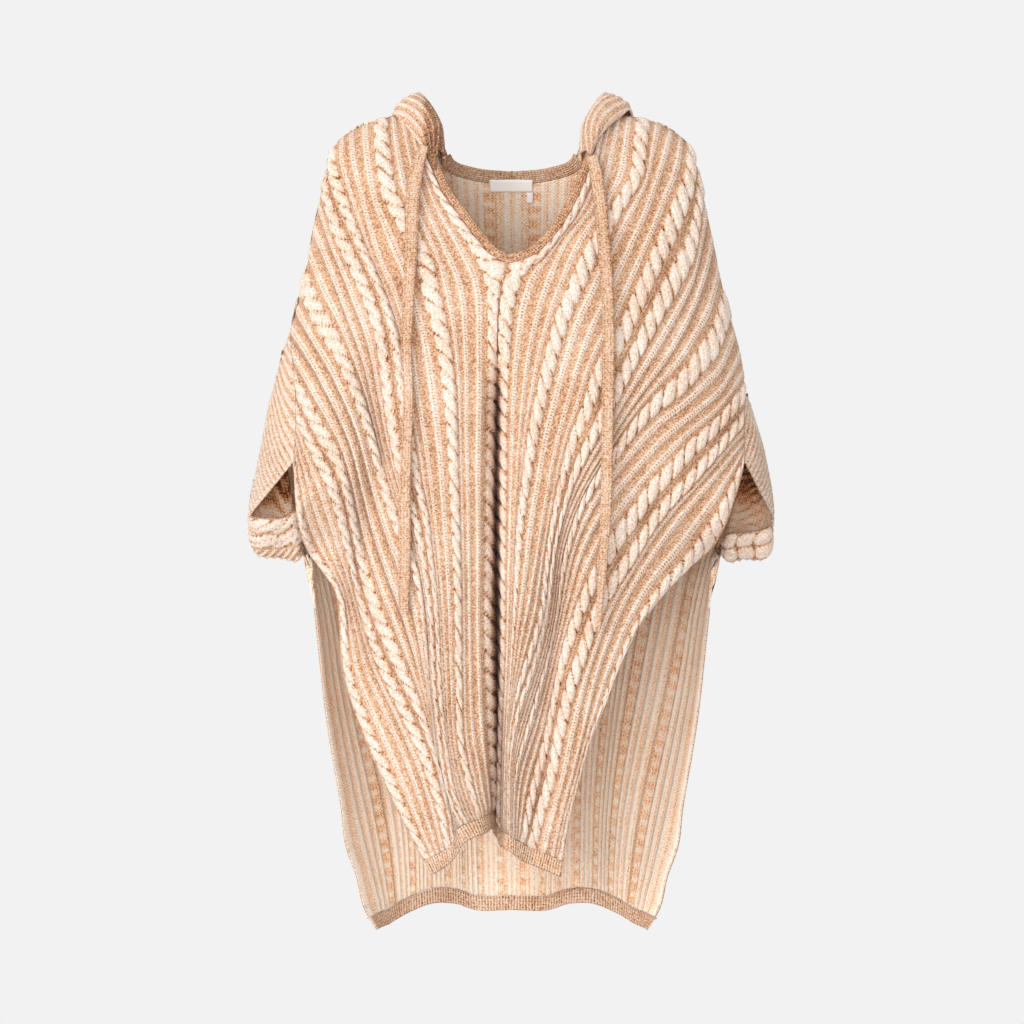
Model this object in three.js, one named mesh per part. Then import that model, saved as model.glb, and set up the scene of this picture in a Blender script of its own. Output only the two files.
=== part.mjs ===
// Hooded poncho sweater in cable knit, filled out as if worn, with nobody in it.
// Millimetres, +Z up. The front faces -Y.
// Left and right are as seen from the front: the right side is at +X.
// The origin lies midway between the shoulders, at the height where they carry the garment.

import * as THREE from 'three';

// Driving sizes
const WALL = 3;               // thickness of the plain knit behind the raised stitches
const SEAM = 0.3;             // gap between neighbouring pieces
const HALF_SEAM = SEAM / 2;
const LINKED_SEAM = 2.1;      // gap between the edges of two pieces that are linked together
const SLEEVE_SEAM = 1.3;        // gap between a sleeve's edge and the panels it is linked to
const UNDERARM_FROM = 0.4;    // share of the sleeve's seam from which it turns away from the back
const UNDERARM_TURN = 3;      // how fast it turns
const UNDERARM_EASE = 3.2;      // how much wider the gap gets there
const FOLD_EASE = 1.5;        // how much shorter the hem band is in the bottom of the middle fold
const ROUNDING = 200;         // how far in from the outline the garment reaches its full depth
const RIB_HEIGHT = 2.2;       // how far a rib stands out
const CABLE_HEIGHT = 4.2;     // mean height of a cable's two strands
const CABLE_SWING = 1.4;      // how much one strand rises over the other at a crossing
const EDGE_FLAT = [0, 0, 0.2, 0.7];  // share of a stitch's height in the rows next to a seam
const CABLE_CROSSING = 23;    // distance from one crossing to the next
const RIB_PITCH = 11;
const CABLE_WIDTH = 14;
const DOUBLE_CABLE_GAP = 4;
const FRONT_HEM = 18;         // height of the front hem band
const BACK_HEM = 17;
const HEM_WALL = 2.6;
const NECK_ROLL = 9;          // width of the rolled edge of the V
const BACK_BAND = 10;         // height of the band inside the back neck
const TIE_THICKNESS = 3;
const V_POINT = 0.22;         // share of the front's rows that lie beside the V
const FRONT_WIDTH = 287;      // half of the front, over the cloth
const BACK_WIDTH = 345;       // half of the back, over the cloth
const BACK_NECK = 95;         // half of the back's neck edge, over the cloth
const BACK_BAND_REACH = 76;   // half of the length of the band inside the back neck
const FOLD_START = 40;        // how far in from the outline a fold is at its full depth
const STRANDS = [0.3, 0.7];   // where a cable's two strands lie across its width
const SLEEVE_WALL = 2.5;
const SLEEVE_RELIEF = 1.6;
const SLEEVE_RIB = 12;        // distance from one raised line of a sleeve to the next
const SLEEVE_TIP = [0.3, 0.7];  // share of the wall's thickness in the rows at a sleeve's two ends
const HOOD_WALL = 2.6;
const HOOD_RELIEF = 1.2;
const HOOD_CORNER = [0.35, 0.45, 0.6, 0.8];  // share of the wall's thickness from a front corner on
const BINDING_ROLL = 1.5;     // how far the neck's rolled edge stands out along its middle
const LABEL_THICKNESS = 0.8;
const LABEL_CLEAR = 1.2;      // gap between the label's outer face and the cloth it is sewn to
const BODY_CENTRE = [0, 20, -120];
const SLEEVE_CENTRE = [262, 0, -420];

const COLOURS = { knit: '#e3c4a6', rib: '#d9b48d', label: '#f4f2ee' };

// Depth of the filled-out body in front of and behind the side outline
const DEPTHS = [
  { z: 20, front: 58, back: 62 },
  { z: -100, front: 76, back: 82 },
  { z: -250, front: 98, back: 100 },
  { z: -450, front: 112, back: 108 },
  { z: -650, front: 108, back: 106 },
  { z: -850, front: 98, back: 102 },
  { z: -940, front: 94, back: 100 },
];

// Outline of one side, seen from the front: shoulder, overarm, sleeve end, then the back's side edge
const OUTLINE = [
  [0, 18], [100, 18], [147, 14], [170, 6], [193, -7], [205, -20], [212, -35], [216, -60],
  [228, -109], [238, -165], [246, -200], [254, -228], [262, -255], [268, -288], [277, -328],
  [286, -360], [296, -403], [302, -445], [299, -470], [291, -489], [268, -493], [234, -491],
  [229, -540], [223, -598], [215, -670], [207, -722], [197, -780], [192, -822], [179, -860],
  [171, -894], [156, -920],
];

// The front's wales, from the middle outwards, as they lie: x and z along each from top to hem.
// across is the distance over the cloth from the front edge or middle.
const FRONT_RIGHT = [
  { across: 7, line: [[104, 5], [88, -62], [64, -111], [32, -149], [10, -164], [0, -182], [-6, -207],
    [-8, -253], [-9, -368], [-9, -495], [-9, -598], [-12, -713], [-14, -821]] },
  { across: 30, line: [[122, 16], [112, -35], [95, -86], [61, -132], [38, -184], [21, -247], [10, -334],
    [4, -426], [0, -518], [-3, -610], [-8, -713], [-11, -822]] },
  { across: 54, line: [[150, 13], [147, -20], [143, -55], [124, -86], [90, -144], [74, -178], [59, -213],
    [46, -255], [35, -299], [24, -345], [17, -391], [9, -443], [5, -506], [1, -575], [-3, -640],
    [-7, -713], [-9, -823]] },
  { across: 77, line: [[182, 0], [176, -23], [152, -95], [118, -170], [83, -247], [64, -310], [49, -368],
    [35, -445], [21, -529], [8, -598], [0, -655], [-5, -735], [-7, -824]] },
  { across: 101, line: [[205, -20], [203, -58], [187, -98], [149, -184], [129, -230], [98, -282], [84, -324],
    [69, -357], [58, -397], [47, -449], [39, -500], [33, -552], [24, -587], [12, -624], [2, -660],
    [-3, -700], [-5, -825]] },
  { across: 119, line: [[216, -60], [205, -138], [187, -173], [168, -207], [147, -247], [130, -282],
    [98, -345], [84, -372], [72, -397], [60, -436], [50, -475], [43, -515], [37, -556], [29, -594],
    [18, -632], [6, -672], [-1, -720], [-3, -826]] },
  { across: 142, line: [[230, -122], [220, -165], [203, -212], [178, -258], [149, -299], [122, -338],
    [104, -370], [86, -400], [71, -430], [58, -466], [51, -503], [46, -550], [36, -597], [24, -638],
    [11, -680], [2, -725], [-1, -827]] },
  { across: 166, line: [[246, -200], [230, -247], [216, -265], [193, -293], [164, -316], [139, -342],
    [116, -374], [94, -405], [78, -435], [66, -470], [58, -505], [53, -548], [43, -598], [30, -642],
    [18, -685], [5, -735], [1, -829]] },
  { across: 189, line: [[262, -255], [240, -296], [208, -325], [176, -351], [145, -384], [116, -418],
    [92, -455], [76, -492], [66, -529], [54, -580], [41, -633], [30, -675], [10, -742], [4, -831]] },
  { across: 213, line: [[267, -300], [232, -341], [205, -365], [182, -391], [159, -414], [141, -440],
    [118, -470], [98, -506], [85, -532], [75, -556], [60, -602], [48, -656], [38, -706], [22, -762],
    [8, -834]] },
  { across: 231, line: [[266, -331], [235, -369], [205, -403], [184, -424], [161, -452], [141, -484],
    [118, -518], [99, -550], [81, -600], [67, -640], [55, -688], [46, -738], [31, -788], [17, -840]] },
  { across: 254, line: [[266, -357], [228, -402], [190, -446], [158, -489], [127, -541], [107, -590],
    [93, -633], [80, -690], [69, -736], [56, -785], [42, -850]] },
  { across: 278, line: [[266, -376], [251, -416], [234, -452], [206, -492], [172, -528], [142, -572],
    [122, -614], [106, -656], [87, -704], [75, -748], [62, -796], [51, -854]] },
  { across: 287, line: [[266, -382], [261, -405], [253, -430], [243, -457], [228, -484], [205, -501],
    [176, -531], [153, -557], [138, -580], [126, -602], [114, -630], [104, -660], [87, -710],
    [74, -755], [63, -805], [56, -855]] },
];

const FRONT_LEFT = [
  { across: 7, line: [[-110, 5], [-91, -60], [-66, -104], [-38, -142], [-26, -164], [-21, -196],
    [-22, -265], [-24, -345], [-26, -420], [-27, -500], [-28, -560], [-26, -640], [-24, -700],
    [-22, -760], [-21, -801]] },
  { across: 30, line: [[-126, 16], [-114, -40], [-100, -86], [-77, -136], [-58, -184], [-52, -260],
    [-51, -368], [-49, -455], [-48, -541], [-47, -620], [-44, -690], [-35, -745], [-26, -803]] },
  { across: 54, line: [[-150, 13], [-149, -15], [-146, -40], [-140, -75], [-120, -110], [-99, -152],
    [-91, -190], [-77, -247], [-69, -311], [-64, -426], [-61, -541], [-60, -633], [-58, -702],
    [-47, -753], [-31, -806]] },
  { across: 77, line: [[-184, -1], [-181, -35], [-168, -90], [-150, -150], [-133, -190], [-116, -245],
    [-106, -311], [-95, -380], [-86, -460], [-79, -540], [-75, -620], [-70, -700], [-57, -760],
    [-37, -808]] },
  { across: 101, line: [[-205, -20], [-206, -45], [-192, -86], [-175, -127], [-152, -178], [-133, -236],
    [-125, -288], [-118, -340], [-106, -408], [-96, -449], [-92, -485], [-85, -551], [-80, -656],
    [-64, -765], [-43, -810]] },
  { across: 119, line: [[-216, -60], [-204, -109], [-183, -152], [-166, -190], [-152, -232],
    [-144, -288], [-136, -345], [-127, -390], [-114, -435], [-103, -480], [-92, -560], [-87, -656],
    [-70, -768], [-48, -812]] },
  { across: 142, line: [[-228, -109], [-205, -165], [-187, -213], [-170, -260], [-156, -320],
    [-145, -370], [-132, -415], [-118, -455], [-107, -505], [-98, -565], [-92, -656], [-75, -770],
    [-52, -815]] },
  { across: 166, line: [[-240, -172], [-221, -216], [-199, -251], [-179, -297], [-163, -345],
    [-148, -397], [-134, -440], [-117, -482], [-104, -520], [-97, -580], [-89, -670], [-75, -770],
    [-56, -818]] },
  { across: 189, line: [[-254, -226], [-228, -266], [-202, -315], [-182, -362], [-170, -410],
    [-158, -455], [-143, -500], [-126, -545], [-112, -592], [-96, -660], [-78, -745], [-60, -824]] },
  { across: 213, line: [[-249, -288], [-224, -337], [-198, -382], [-186, -426], [-173, -490],
    [-154, -550], [-130, -607], [-103, -667], [-86, -716], [-74, -764], [-64, -832]] },
  { across: 231, line: [[-247, -325], [-226, -368], [-207, -405], [-196, -440], [-186, -485],
    [-171, -550], [-149, -612], [-119, -673], [-96, -726], [-80, -780], [-70, -839]] },
  { across: 254, line: [[-248, -352], [-235, -396], [-222, -440], [-206, -485], [-190, -525],
    [-180, -562], [-165, -620], [-140, -676], [-119, -724], [-101, -775], [-79, -846]] },
  { across: 278, line: [[-249, -376], [-244, -420], [-239, -455], [-226, -487], [-207, -513],
    [-194, -542], [-190, -590], [-185, -630], [-170, -674], [-147, -728], [-121, -785], [-87, -851]] },
  { across: 287, line: [[-249, -382], [-248, -420], [-244, -455], [-235, -484], [-219, -506],
    [-203, -530], [-198, -564], [-196, -606], [-188, -645], [-175, -682], [-154, -732], [-126, -790],
    [-93, -853]] },
];

// Edge of the V under its rolled edge, then the middle of the front down to the hem
const NECK_EDGE = [[100, 4], [93, -34], [83, -62], [71, -88], [58, -111], [43, -130], [24, -147], [-5, -156]];
const NECK_EDGE_LEFT = [[-106, 4], [-99, -28], [-87, -58], [-76, -80], [-62, -98], [-50, -115],
  [-37, -131], [-24, -146], [-5, -156]];
const MIDDLE = [[-5, -156], [-14, -196], [-17, -253], [-18, -368], [-18, -495], [-17, -598],
  [-17, -713], [-18, -811]];

// The back's lines from neck, shoulder, overarm and armhole down to its hem, one side
const BACK = [
  { across: 0, line: [[0, -60], [0, -300], [0, -600], [0, -901]] },
  { across: 40, line: [[46, -55], [43, -150], [34, -350], [26, -600], [22, -902]] },
  { across: 75, line: [[80, -40], [74, -140], [60, -350], [48, -600], [38, -902]] },
  { across: 95, line: [[100, 4], [92, -120], [76, -330], [60, -590], [50, -899]] },
  { across: 140, line: [[150, 13], [138, -60], [110, -230], [86, -450], [68, -690], [64, -894]] },
  { across: 180, line: [[193, -7], [178, -100], [142, -280], [112, -490], [88, -730], [84, -892]] },
  { across: 215, line: [[216, -60], [196, -160], [160, -320], [130, -520], [102, -760], [98, -894]] },
  { across: 250, line: [[240, -172], [218, -260], [178, -410], [146, -580], [116, -780], [111, -899]] },
  { across: 280, line: [[262, -255], [236, -340], [196, -480], [164, -640], [132, -800], [124, -905]] },
  { across: 300, line: [[267, -300], [248, -374], [212, -500], [184, -640], [150, -800], [135, -911]] },
  { across: 322, line: [[266, -382], [240, -450], [215, -545], [199, -650], [168, -800], [144, -916]] },
  { across: 335, line: [[254, -434], [232, -500], [220, -560], [209, -645], [182, -790], [150, -918]] },
  { across: 345, line: [[236, -487], [230, -520], [228, -564], [222, -610], [214, -676], [203, -738],
    [195, -799], [184, -846], [171, -890], [156, -920]] },
];

// Folds pressed into the front: a line of x and z, how wide and deep, and how softly it ends
const FRONT_FOLDS = [
  { line: [[-16, -240], [-18, -368], [-18, -495], [-17, -598], [-17, -713], [-18, -840]],
    halfWidth: 8, depth: 24, fade: 90 },
  { line: [[-170, -240], [-158, -311], [-147, -368], [-158, -430], [-168, -495], [-172, -541], [-158, -600]],
    halfWidth: 26, depth: 13, fade: 90 },
  { line: [[60, -470], [44, -580], [38, -656], [30, -750], [22, -870]], halfWidth: 22, depth: 14, fade: 90 },
  { line: [[-80, -400], [-75, -560], [-72, -700], [-66, -860]], halfWidth: 34, depth: -12, fade: 120 },
  { line: [[120, -250], [90, -380], [85, -470]], halfWidth: 40, depth: -8, fade: 90 },
  { line: [[20, -400], [14, -560], [8, -640]], halfWidth: 20, depth: -8, fade: 90 },
];
const BACK_FOLDS = [
  { line: [[-110, -420], [-100, -600], [-96, -940]], halfWidth: 30, depth: 12, fade: 160 },
  { line: [[96, -400], [90, -620], [84, -940]], halfWidth: 30, depth: 12, fade: 160 },
  { line: [[0, -300], [4, -600], [0, -940]], halfWidth: 45, depth: 9, fade: 160 },
];

// Sleeve ends, from the front seam over the outside to the underarm, between the panels' own
// edges: five places from the overarm to the mouth, as on the side named
const SLEEVES = {
  right: {
    frontSeam: [213, FRONT_WIDTH],
    backSeam: [300, BACK_WIDTH],
    sections: [
      { name: 'front', places: [
        [270.5, -10, -306], [274, -21, -334], [278, -31, -357],
        [281, -36, -385], [284, -34, -415],
      ] },
      { name: 'outside', places: [
        [272, -1, -307], [279, -2, -337], [288, -4, -368],
        [297, -2, -412], [300, -10, -446],
      ] },
      { name: 'back outside', places: [
        [271.5, 6, -307], [279, 13, -340], [290, 20, -384],
        [297, 12, -476], [291, -22, -458],
      ] },
      { name: 'underside', places: [
        [270.5, 11, -307], [275, 25, -343], [281, 38, -388],
        [272, 32, -487], [262, -20, -468],
      ] },
    ],
  },
  left: {
    frontSeam: [189, FRONT_WIDTH],
    backSeam: [280, BACK_WIDTH],
    sections: [
      { name: 'front', places: [
        [258.5, -8.5, -241], [260, -34, -291], [262, -46, -337],
        [268, -46, -376], [275, -38, -412],
      ] },
      { name: 'outside', places: [
        [261.5, -4.5, -246], [268.5, -19, -293], [280, -15, -343],
        [297, -3, -408], [300, -9, -442],
      ] },
      { name: 'back outside', places: [
        [264.5, -3.5, -251], [272, -7, -294], [284, 5, -347],
        [298, 10, -472], [292, -22, -450],
      ] },
      { name: 'underside', places: [
        [265.5, -2.7, -256], [271.5, 3, -294], [279, 21, -349],
        [273, 32, -487], [262, -26, -455],
      ] },
    ],
  },
};

// Hood, lying down behind: from its front corner round to the middle of the back. Each section
// runs from the neck seam over the crest and outside to the turned-in end.
const HOOD = [
  { name: 'front corner', places: [
    [78, -36, -40], [77, -42, -29], [83, -50, -25],
    [88, -55, -30], [88, -55, -38],
  ] },
  { name: 'beside the neck', places: [
    [83, -6, -12], [80, -14, 0], [88, -31, 8],
    [98, -43, 2], [102, -43, -8],
  ] },
  { name: 'shoulder', places: [[87, 10, 2], [91, 4, 24], [104, -10, 33], [119, -20, 27], [126, -16, 20]] },
  { name: 'crest', places: [[88.2, 28, -7], [104, 20, 40], [121, 12, 38], [136, 8, 31], [143, 10, 24]] },
  { name: 'behind the crest', places: [
    [78.5, 45, -21], [100, 52, 28], [128, 66, 14],
    [142, 76, -22], [136, 72, -42],
  ] },
  { name: 'back of the neck', places: [
    [56, 60, -38], [76, 80, -12], [108, 112, -60],
    [116, 118, -130], [104, 106, -156],
  ] },
  { name: 'middle of the back', places: [
    [0, 66, -50], [0, 86, -40], [0, 132, -104],
    [0, 142, -200], [0, 116, -240],
  ] },
];

// Ties, as the middle of each hangs from the hood's corner over the front, with half its width
const TIE_RIGHT = [
  { at: [92, -56.5, -32], half: 6 }, { at: [97, -64, -58], half: 7 }, { at: [101, -75, -90], half: 7.5 },
  { at: [105, -87, -138], half: 7.5 }, { at: [109, -96, -196], half: 7 }, { at: [110, -106, -253], half: 7 },
  { at: [109, -116, -310], half: 7 }, { at: [108, -123, -368], half: 6.5 },
  { at: [107, -124, -426], half: 6.5 }, { at: [104, -120, -480], half: 5.5 },
  { at: [101, -116, -529], half: 4.5 }, { at: [97, -113, -577], half: 3 },
];
const TIE_LEFT = [
  { at: [-92, -55.8, -30], half: 6 }, { at: [-110, -62, -52], half: 7.5 }, { at: [-114, -75, -90], half: 8 },
  { at: [-115, -85, -138], half: 7.5 }, { at: [-118, -95, -196], half: 6.5 },
  { at: [-120, -104, -253], half: 6 }, { at: [-118, -110, -311], half: 5.5 },
  { at: [-120, -114, -368], half: 6 }, { at: [-122, -115, -426], half: 7 },
  { at: [-122, -114, -480], half: 7 }, { at: [-123, -112, -530], half: 6.5 },
  { at: [-123, -110, -556], half: 5 },
];

// Label and size tab inside the back neck: left, right, top, bottom
const LABEL = { left: -26, right: 24, top: -59, bottom: -70 };
const SIZE_TAB = { left: 17, right: 24, top: -70.5, bottom: -82 };

function clamp(value, low, high) {
  return Math.min(Math.max(value, low), high);
}

function smooth(value) {
  const v = clamp(value, 0, 1);
  return v * v * (3 - 2 * v);
}

function splineXZ(line) {
  const points = line.map(([x, z]) => new THREE.Vector3(x, 0, z));
  const curve = new THREE.CatmullRomCurve3(points, false, 'centripetal');
  curve.arcLengthDivisions = 20 * line.length;
  return curve;
}

// Distance from a point to a chain of points, and how far along the chain its foot lies
function distanceToLine(x, z, line) {
  let best = Infinity;
  let along = 0;
  let run = 0;
  for (let i = 0; i + 1 < line.length; i++) {
    const [ax, az] = line[i];
    const [bx, bz] = line[i + 1];
    const length = Math.hypot(bx - ax, bz - az);
    const share = clamp(((x - ax) * (bx - ax) + (z - az) * (bz - az)) / (length * length), 0, 1);
    const distance = Math.hypot(x - ax - share * (bx - ax), z - az - share * (bz - az));
    if (distance < best) {
      best = distance;
      along = run + share * length;
    }
    run += length;
  }
  return { distance: best, along, length: run };
}

function bodyDepth(z, side) {
  const i = DEPTHS.findIndex((row, n) => n + 1 === DEPTHS.length - 1 || z > DEPTHS[n + 1].z);
  const above = DEPTHS[i];
  const below = DEPTHS[i + 1];
  const share = clamp((above.z - z) / (above.z - below.z), 0, 1);
  return above[side] + share * (below[side] - above[side]);
}

function foldDepth(x, z, folds) {
  let depth = 0;
  for (const fold of folds) {
    const { distance, along, length } = distanceToLine(x, z, fold.line);
    const ends = smooth(along / fold.fade) * smooth((length - along) / (0.4 * fold.fade) + 0.3);
    depth += fold.depth * ends * Math.exp(-((distance / fold.halfWidth) ** 2));
  }
  return depth;
}

// Distance in front of or behind the outline's plane: a quarter round in from the outline,
// with the folds pressed in
function depthAt(x, z, side) {
  const { distance } = distanceToLine(Math.abs(x), z, OUTLINE);
  const share = Math.min(distance / ROUNDING, 1);
  const round = Math.sqrt(share * (2 - share));
  const folds = side === 'front' ? FRONT_FOLDS : BACK_FOLDS;
  const pressed = foldDepth(x, z, folds) * smooth(distance / FOLD_START);
  return Math.max(bodyDepth(z, side) * round - pressed, HALF_SEAM);
}

// A cloth patch: lines that run down the cloth, joined across it by a smooth curve.
// place(across, down) takes down from 0 at the top to 1 at the hem, or in the hem band.
class Cloth {
  constructor({ lines, side, mirror = 1, hem, outlineTo, firstEdge = null }) {
    this.side = side;
    this.sign = side === 'front' ? -1 : 1;
    this.mirror = mirror;
    this.hem = hem;
    this.outlineFrom = side === 'front' ? 0 : BACK_NECK;
    this.outlineTo = outlineTo;
    this.firstEdge = firstEdge;
    this.across = lines.map((line) => line.across);
    this.curves = lines.map((line) => splineXZ(line.line));
    if (firstEdge) {
      this.across.unshift(0);
      this.curves.unshift(null);
    }
    this.rowCache = new Map();
  }

  lineAt(index, down, inHem) {
    const curve = this.curves[index];
    if (curve) {
      const length = curve.getLength();
      const body = length - this.hem - LINKED_SEAM;
      const run = inHem ? length - this.hem * (1 - down) : body * down;
      return curve.getPointAt(clamp(run / length, 0, 1));
    }
    const { neck, middle } = this.firstEdge;
    const length = middle.getLength();
    if (inHem) return middle.getPointAt(1 - (this.hem - FOLD_EASE) * (1 - down) / length);
    if (down < V_POINT) return neck.getPointAt(down / V_POINT);
    return middle.getPointAt((down - V_POINT) / (1 - V_POINT) * (length - this.hem - LINKED_SEAM) / length);
  }

  row(down, inHem) {
    const key = `${inHem}${down.toFixed(6)}`;
    if (!this.rowCache.has(key)) {
      const points = this.curves.map((curve, index) => this.lineAt(index, down, inHem));
      this.rowCache.set(key, smoothThrough(points));
    }
    return this.rowCache.get(key);
  }

  place(across, down, inHem = false) {
    const last = this.across.length - 1;
    let i = this.across.findIndex((value, n) => n < last && across <= this.across[n + 1]);
    if (i < 0) i = last - 1;
    const share = (across - this.across[i]) / (this.across[i + 1] - this.across[i]);
    const flat = this.row(down, inHem).getPoint((i + share) / last);
    const x = this.mirror * flat.x;
    const onOutline = down === 0 && !inHem && across <= this.outlineTo && across >= this.outlineFrom;
    const depth = onOutline ? HALF_SEAM : depthAt(x, flat.z, this.side);
    return new THREE.Vector3(x, this.sign * depth, flat.z);
  }
}

// Smooth points over a grid of columns and rows, with outward normals from their neighbours
function clothGrid({ columns, rows, place, outward }) {
  const points = columns.map((column) => rows.map((row) => place(column, row)));
  const normals = points.map((line, c) => line.map((point, r) => {
    const left = points[Math.max(c - 1, 0)][r];
    const right = points[Math.min(c + 1, columns.length - 1)][r];
    const above = line[Math.max(r - 1, 0)];
    const below = line[Math.min(r + 1, rows.length - 1)];
    const normal = new THREE.Vector3().crossVectors(
      new THREE.Vector3().subVectors(right, left), new THREE.Vector3().subVectors(below, above));
    return normal.normalize();
  }));
  let agreeing = 0;
  normals.forEach((line, c) => line.forEach((normal, r) => { agreeing += normal.dot(outward(points[c][r])); }));
  if (agreeing < 0) normals.forEach((line) => line.forEach((normal) => normal.negate()));
  return { points, normals };
}

// Triangles gathered with shared corners, so that a wall's faces join into one closed body
class Body {
  constructor() {
    this.positions = [];
    this.triangles = [];
    this.known = new Map();
  }

  corner(point) {
    const key = `${point.x.toFixed(3)},${point.y.toFixed(3)},${point.z.toFixed(3)}`;
    if (!this.known.has(key)) {
      this.known.set(key, this.positions.length / 3);
      this.positions.push(point.x, point.y, point.z);
    }
    return this.known.get(key);
  }

  triangle(a, b, c) {
    const corners = [this.corner(a), this.corner(b), this.corner(c)];
    if (new Set(corners).size === 3) this.triangles.push(...corners);
  }

  quad(a, b, c, d) {
    if (a.distanceTo(c) < b.distanceTo(d)) {
      this.triangle(a, b, c);
      this.triangle(a, c, d);
    } else {
      this.triangle(a, b, d);
      this.triangle(b, c, d);
    }
  }

  // A strip between a fine chain and a coarse one that has some of its places
  zip(fine, coarse, shared) {
    for (let k = 0; k + 1 < shared.length; k++) {
      const middle = Math.floor((shared[k] + shared[k + 1]) / 2);
      for (let i = shared[k]; i < shared[k + 1]; i++) {
        this.triangle(fine[i], fine[i + 1], i < middle ? coarse[k] : coarse[k + 1]);
        if (i + 1 === middle || (middle === shared[k] && i === middle)) {
          this.triangle(fine[middle], coarse[k + 1], coarse[k]);
        }
      }
    }
  }

  geometry() {
    const geometry = new THREE.BufferGeometry();
    geometry.setAttribute('position', new THREE.Float32BufferAttribute(this.positions, 3));
    geometry.setIndex(this.triangles);
    return orient(geometry);
  }
}

// Makes neighbouring faces agree, and turns them so that the body's volume is positive
function orient(geometry) {
  const index = Array.from(geometry.index.array);
  const position = geometry.attributes.position;
  const edges = new Map();
  const count = index.length / 3;
  const edgeKey = (a, b) => (a < b ? `${a},${b}` : `${b},${a}`);
  for (let t = 0; t < count; t++) {
    for (let k = 0; k < 3; k++) {
      const key = edgeKey(index[3 * t + k], index[3 * t + (k + 1) % 3]);
      if (!edges.has(key)) edges.set(key, []);
      edges.get(key).push(t);
    }
  }
  const done = new Uint8Array(count);
  const queue = [0];
  done[0] = 1;
  const runs = (t, a, b) => [0, 1, 2].some((k) => index[3 * t + k] === a && index[3 * t + (k + 1) % 3] === b);
  while (queue.length) {
    const t = queue.pop();
    for (let k = 0; k < 3; k++) {
      const a = index[3 * t + k];
      const b = index[3 * t + (k + 1) % 3];
      for (const other of edges.get(edgeKey(a, b))) {
        if (done[other]) continue;
        if (runs(other, a, b)) {
          const swap = index[3 * other + 1];
          index[3 * other + 1] = index[3 * other + 2];
          index[3 * other + 2] = swap;
        }
        done[other] = 1;
        queue.push(other);
      }
    }
  }
  const corners = [new THREE.Vector3(), new THREE.Vector3(), new THREE.Vector3()];
  let volume = 0;
  for (let t = 0; t < count; t++) {
    corners.forEach((corner, k) => corner.fromBufferAttribute(position, index[3 * t + k]));
    volume += corners[0].dot(corners[1].clone().cross(corners[2]));
  }
  if (volume < 0) {
    for (let t = 0; t < count; t++) {
      const swap = index[3 * t + 1];
      index[3 * t + 1] = index[3 * t + 2];
      index[3 * t + 2] = swap;
    }
  }
  geometry.setIndex(index);
  return geometry;
}

const ALL_ROUND = { top: true, hem: true, first: true, last: true };

// A cloth wall: raised points outside, a plain inside on some of the columns and rows, and
// rims along the sides that open to the air.
function addWall(body, { grid, heights, wall, keepColumns, keepRows, rims, keepSide = 0 }) {
  const { points, normals } = grid;
  const lastColumn = points.length - 1;
  const lastRow = points[0].length - 1;
  const stay = (point) => {
    if (keepSide) point.y = keepSide * Math.max(keepSide * point.y, HALF_SEAM);
    return point;
  };
  const outer = points.map((line, c) => line.map((point, r) => (
    stay(point.clone().addScaledVector(normals[c][r], heights ? heights[c][r] : 0)))));
  const thickness = typeof wall === 'function' ? wall : () => wall;
  const inner = keepColumns.map((c) => keepRows.map((r) => (
    stay(points[c][r].clone().addScaledVector(normals[c][r], -thickness(c, r))))));
  for (let c = 0; c < lastColumn; c++) {
    for (let r = 0; r < lastRow; r++) {
      body.quad(outer[c][r], outer[c + 1][r], outer[c + 1][r + 1], outer[c][r + 1]);
    }
  }
  for (let c = 0; c + 1 < keepColumns.length; c++) {
    for (let r = 0; r + 1 < keepRows.length; r++) {
      body.quad(inner[c][r], inner[c][r + 1], inner[c + 1][r + 1], inner[c + 1][r]);
    }
  }
  const endColumn = keepColumns.length - 1;
  const endRow = keepRows.length - 1;
  if (rims.top) body.zip(outer.map((line) => line[0]), inner.map((line) => line[0]), keepColumns);
  if (rims.hem) body.zip(outer.map((line) => line[lastRow]), inner.map((line) => line[endRow]), keepColumns);
  if (rims.first !== false) {
    const rows = rims.first === true ? keepRows : keepRows.filter((r) => r <= rims.first);
    body.zip(outer[0], inner[0].slice(0, rows.length), rows);
  }
  if (rims.last) body.zip(outer[lastColumn], inner[endColumn], keepRows);
}

// Columns that carry the stitches: a valley, a rib's crest, or a cable's two strands
function wales(pattern, start) {
  const columns = [{ across: start, kind: 'valley' }];
  let at = start;
  for (const stitch of pattern) {
    if (stitch === 'rib') {
      columns.push({ across: at + RIB_PITCH / 2, kind: 'rib' });
      at += RIB_PITCH;
    } else if (stitch === 'cable') {
      columns.push({ across: at + CABLE_WIDTH * STRANDS[0], kind: 'first strand' });
      columns.push({ across: at + CABLE_WIDTH * STRANDS[1], kind: 'second strand' });
      at += CABLE_WIDTH;
    } else {
      at += DOUBLE_CABLE_GAP;
    }
    columns.push({ across: at, kind: 'valley' });
  }
  return columns;
}

const THREE_RIBS = ['rib', 'rib', 'rib'];
const FRONT_PATTERN = [
  'cable', ...THREE_RIBS, 'cable', ...THREE_RIBS, 'cable', 'gap',
  'cable', ...THREE_RIBS, 'cable', ...THREE_RIBS, 'cable', 'gap',
  'cable', ...THREE_RIBS, 'cable',
];

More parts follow.
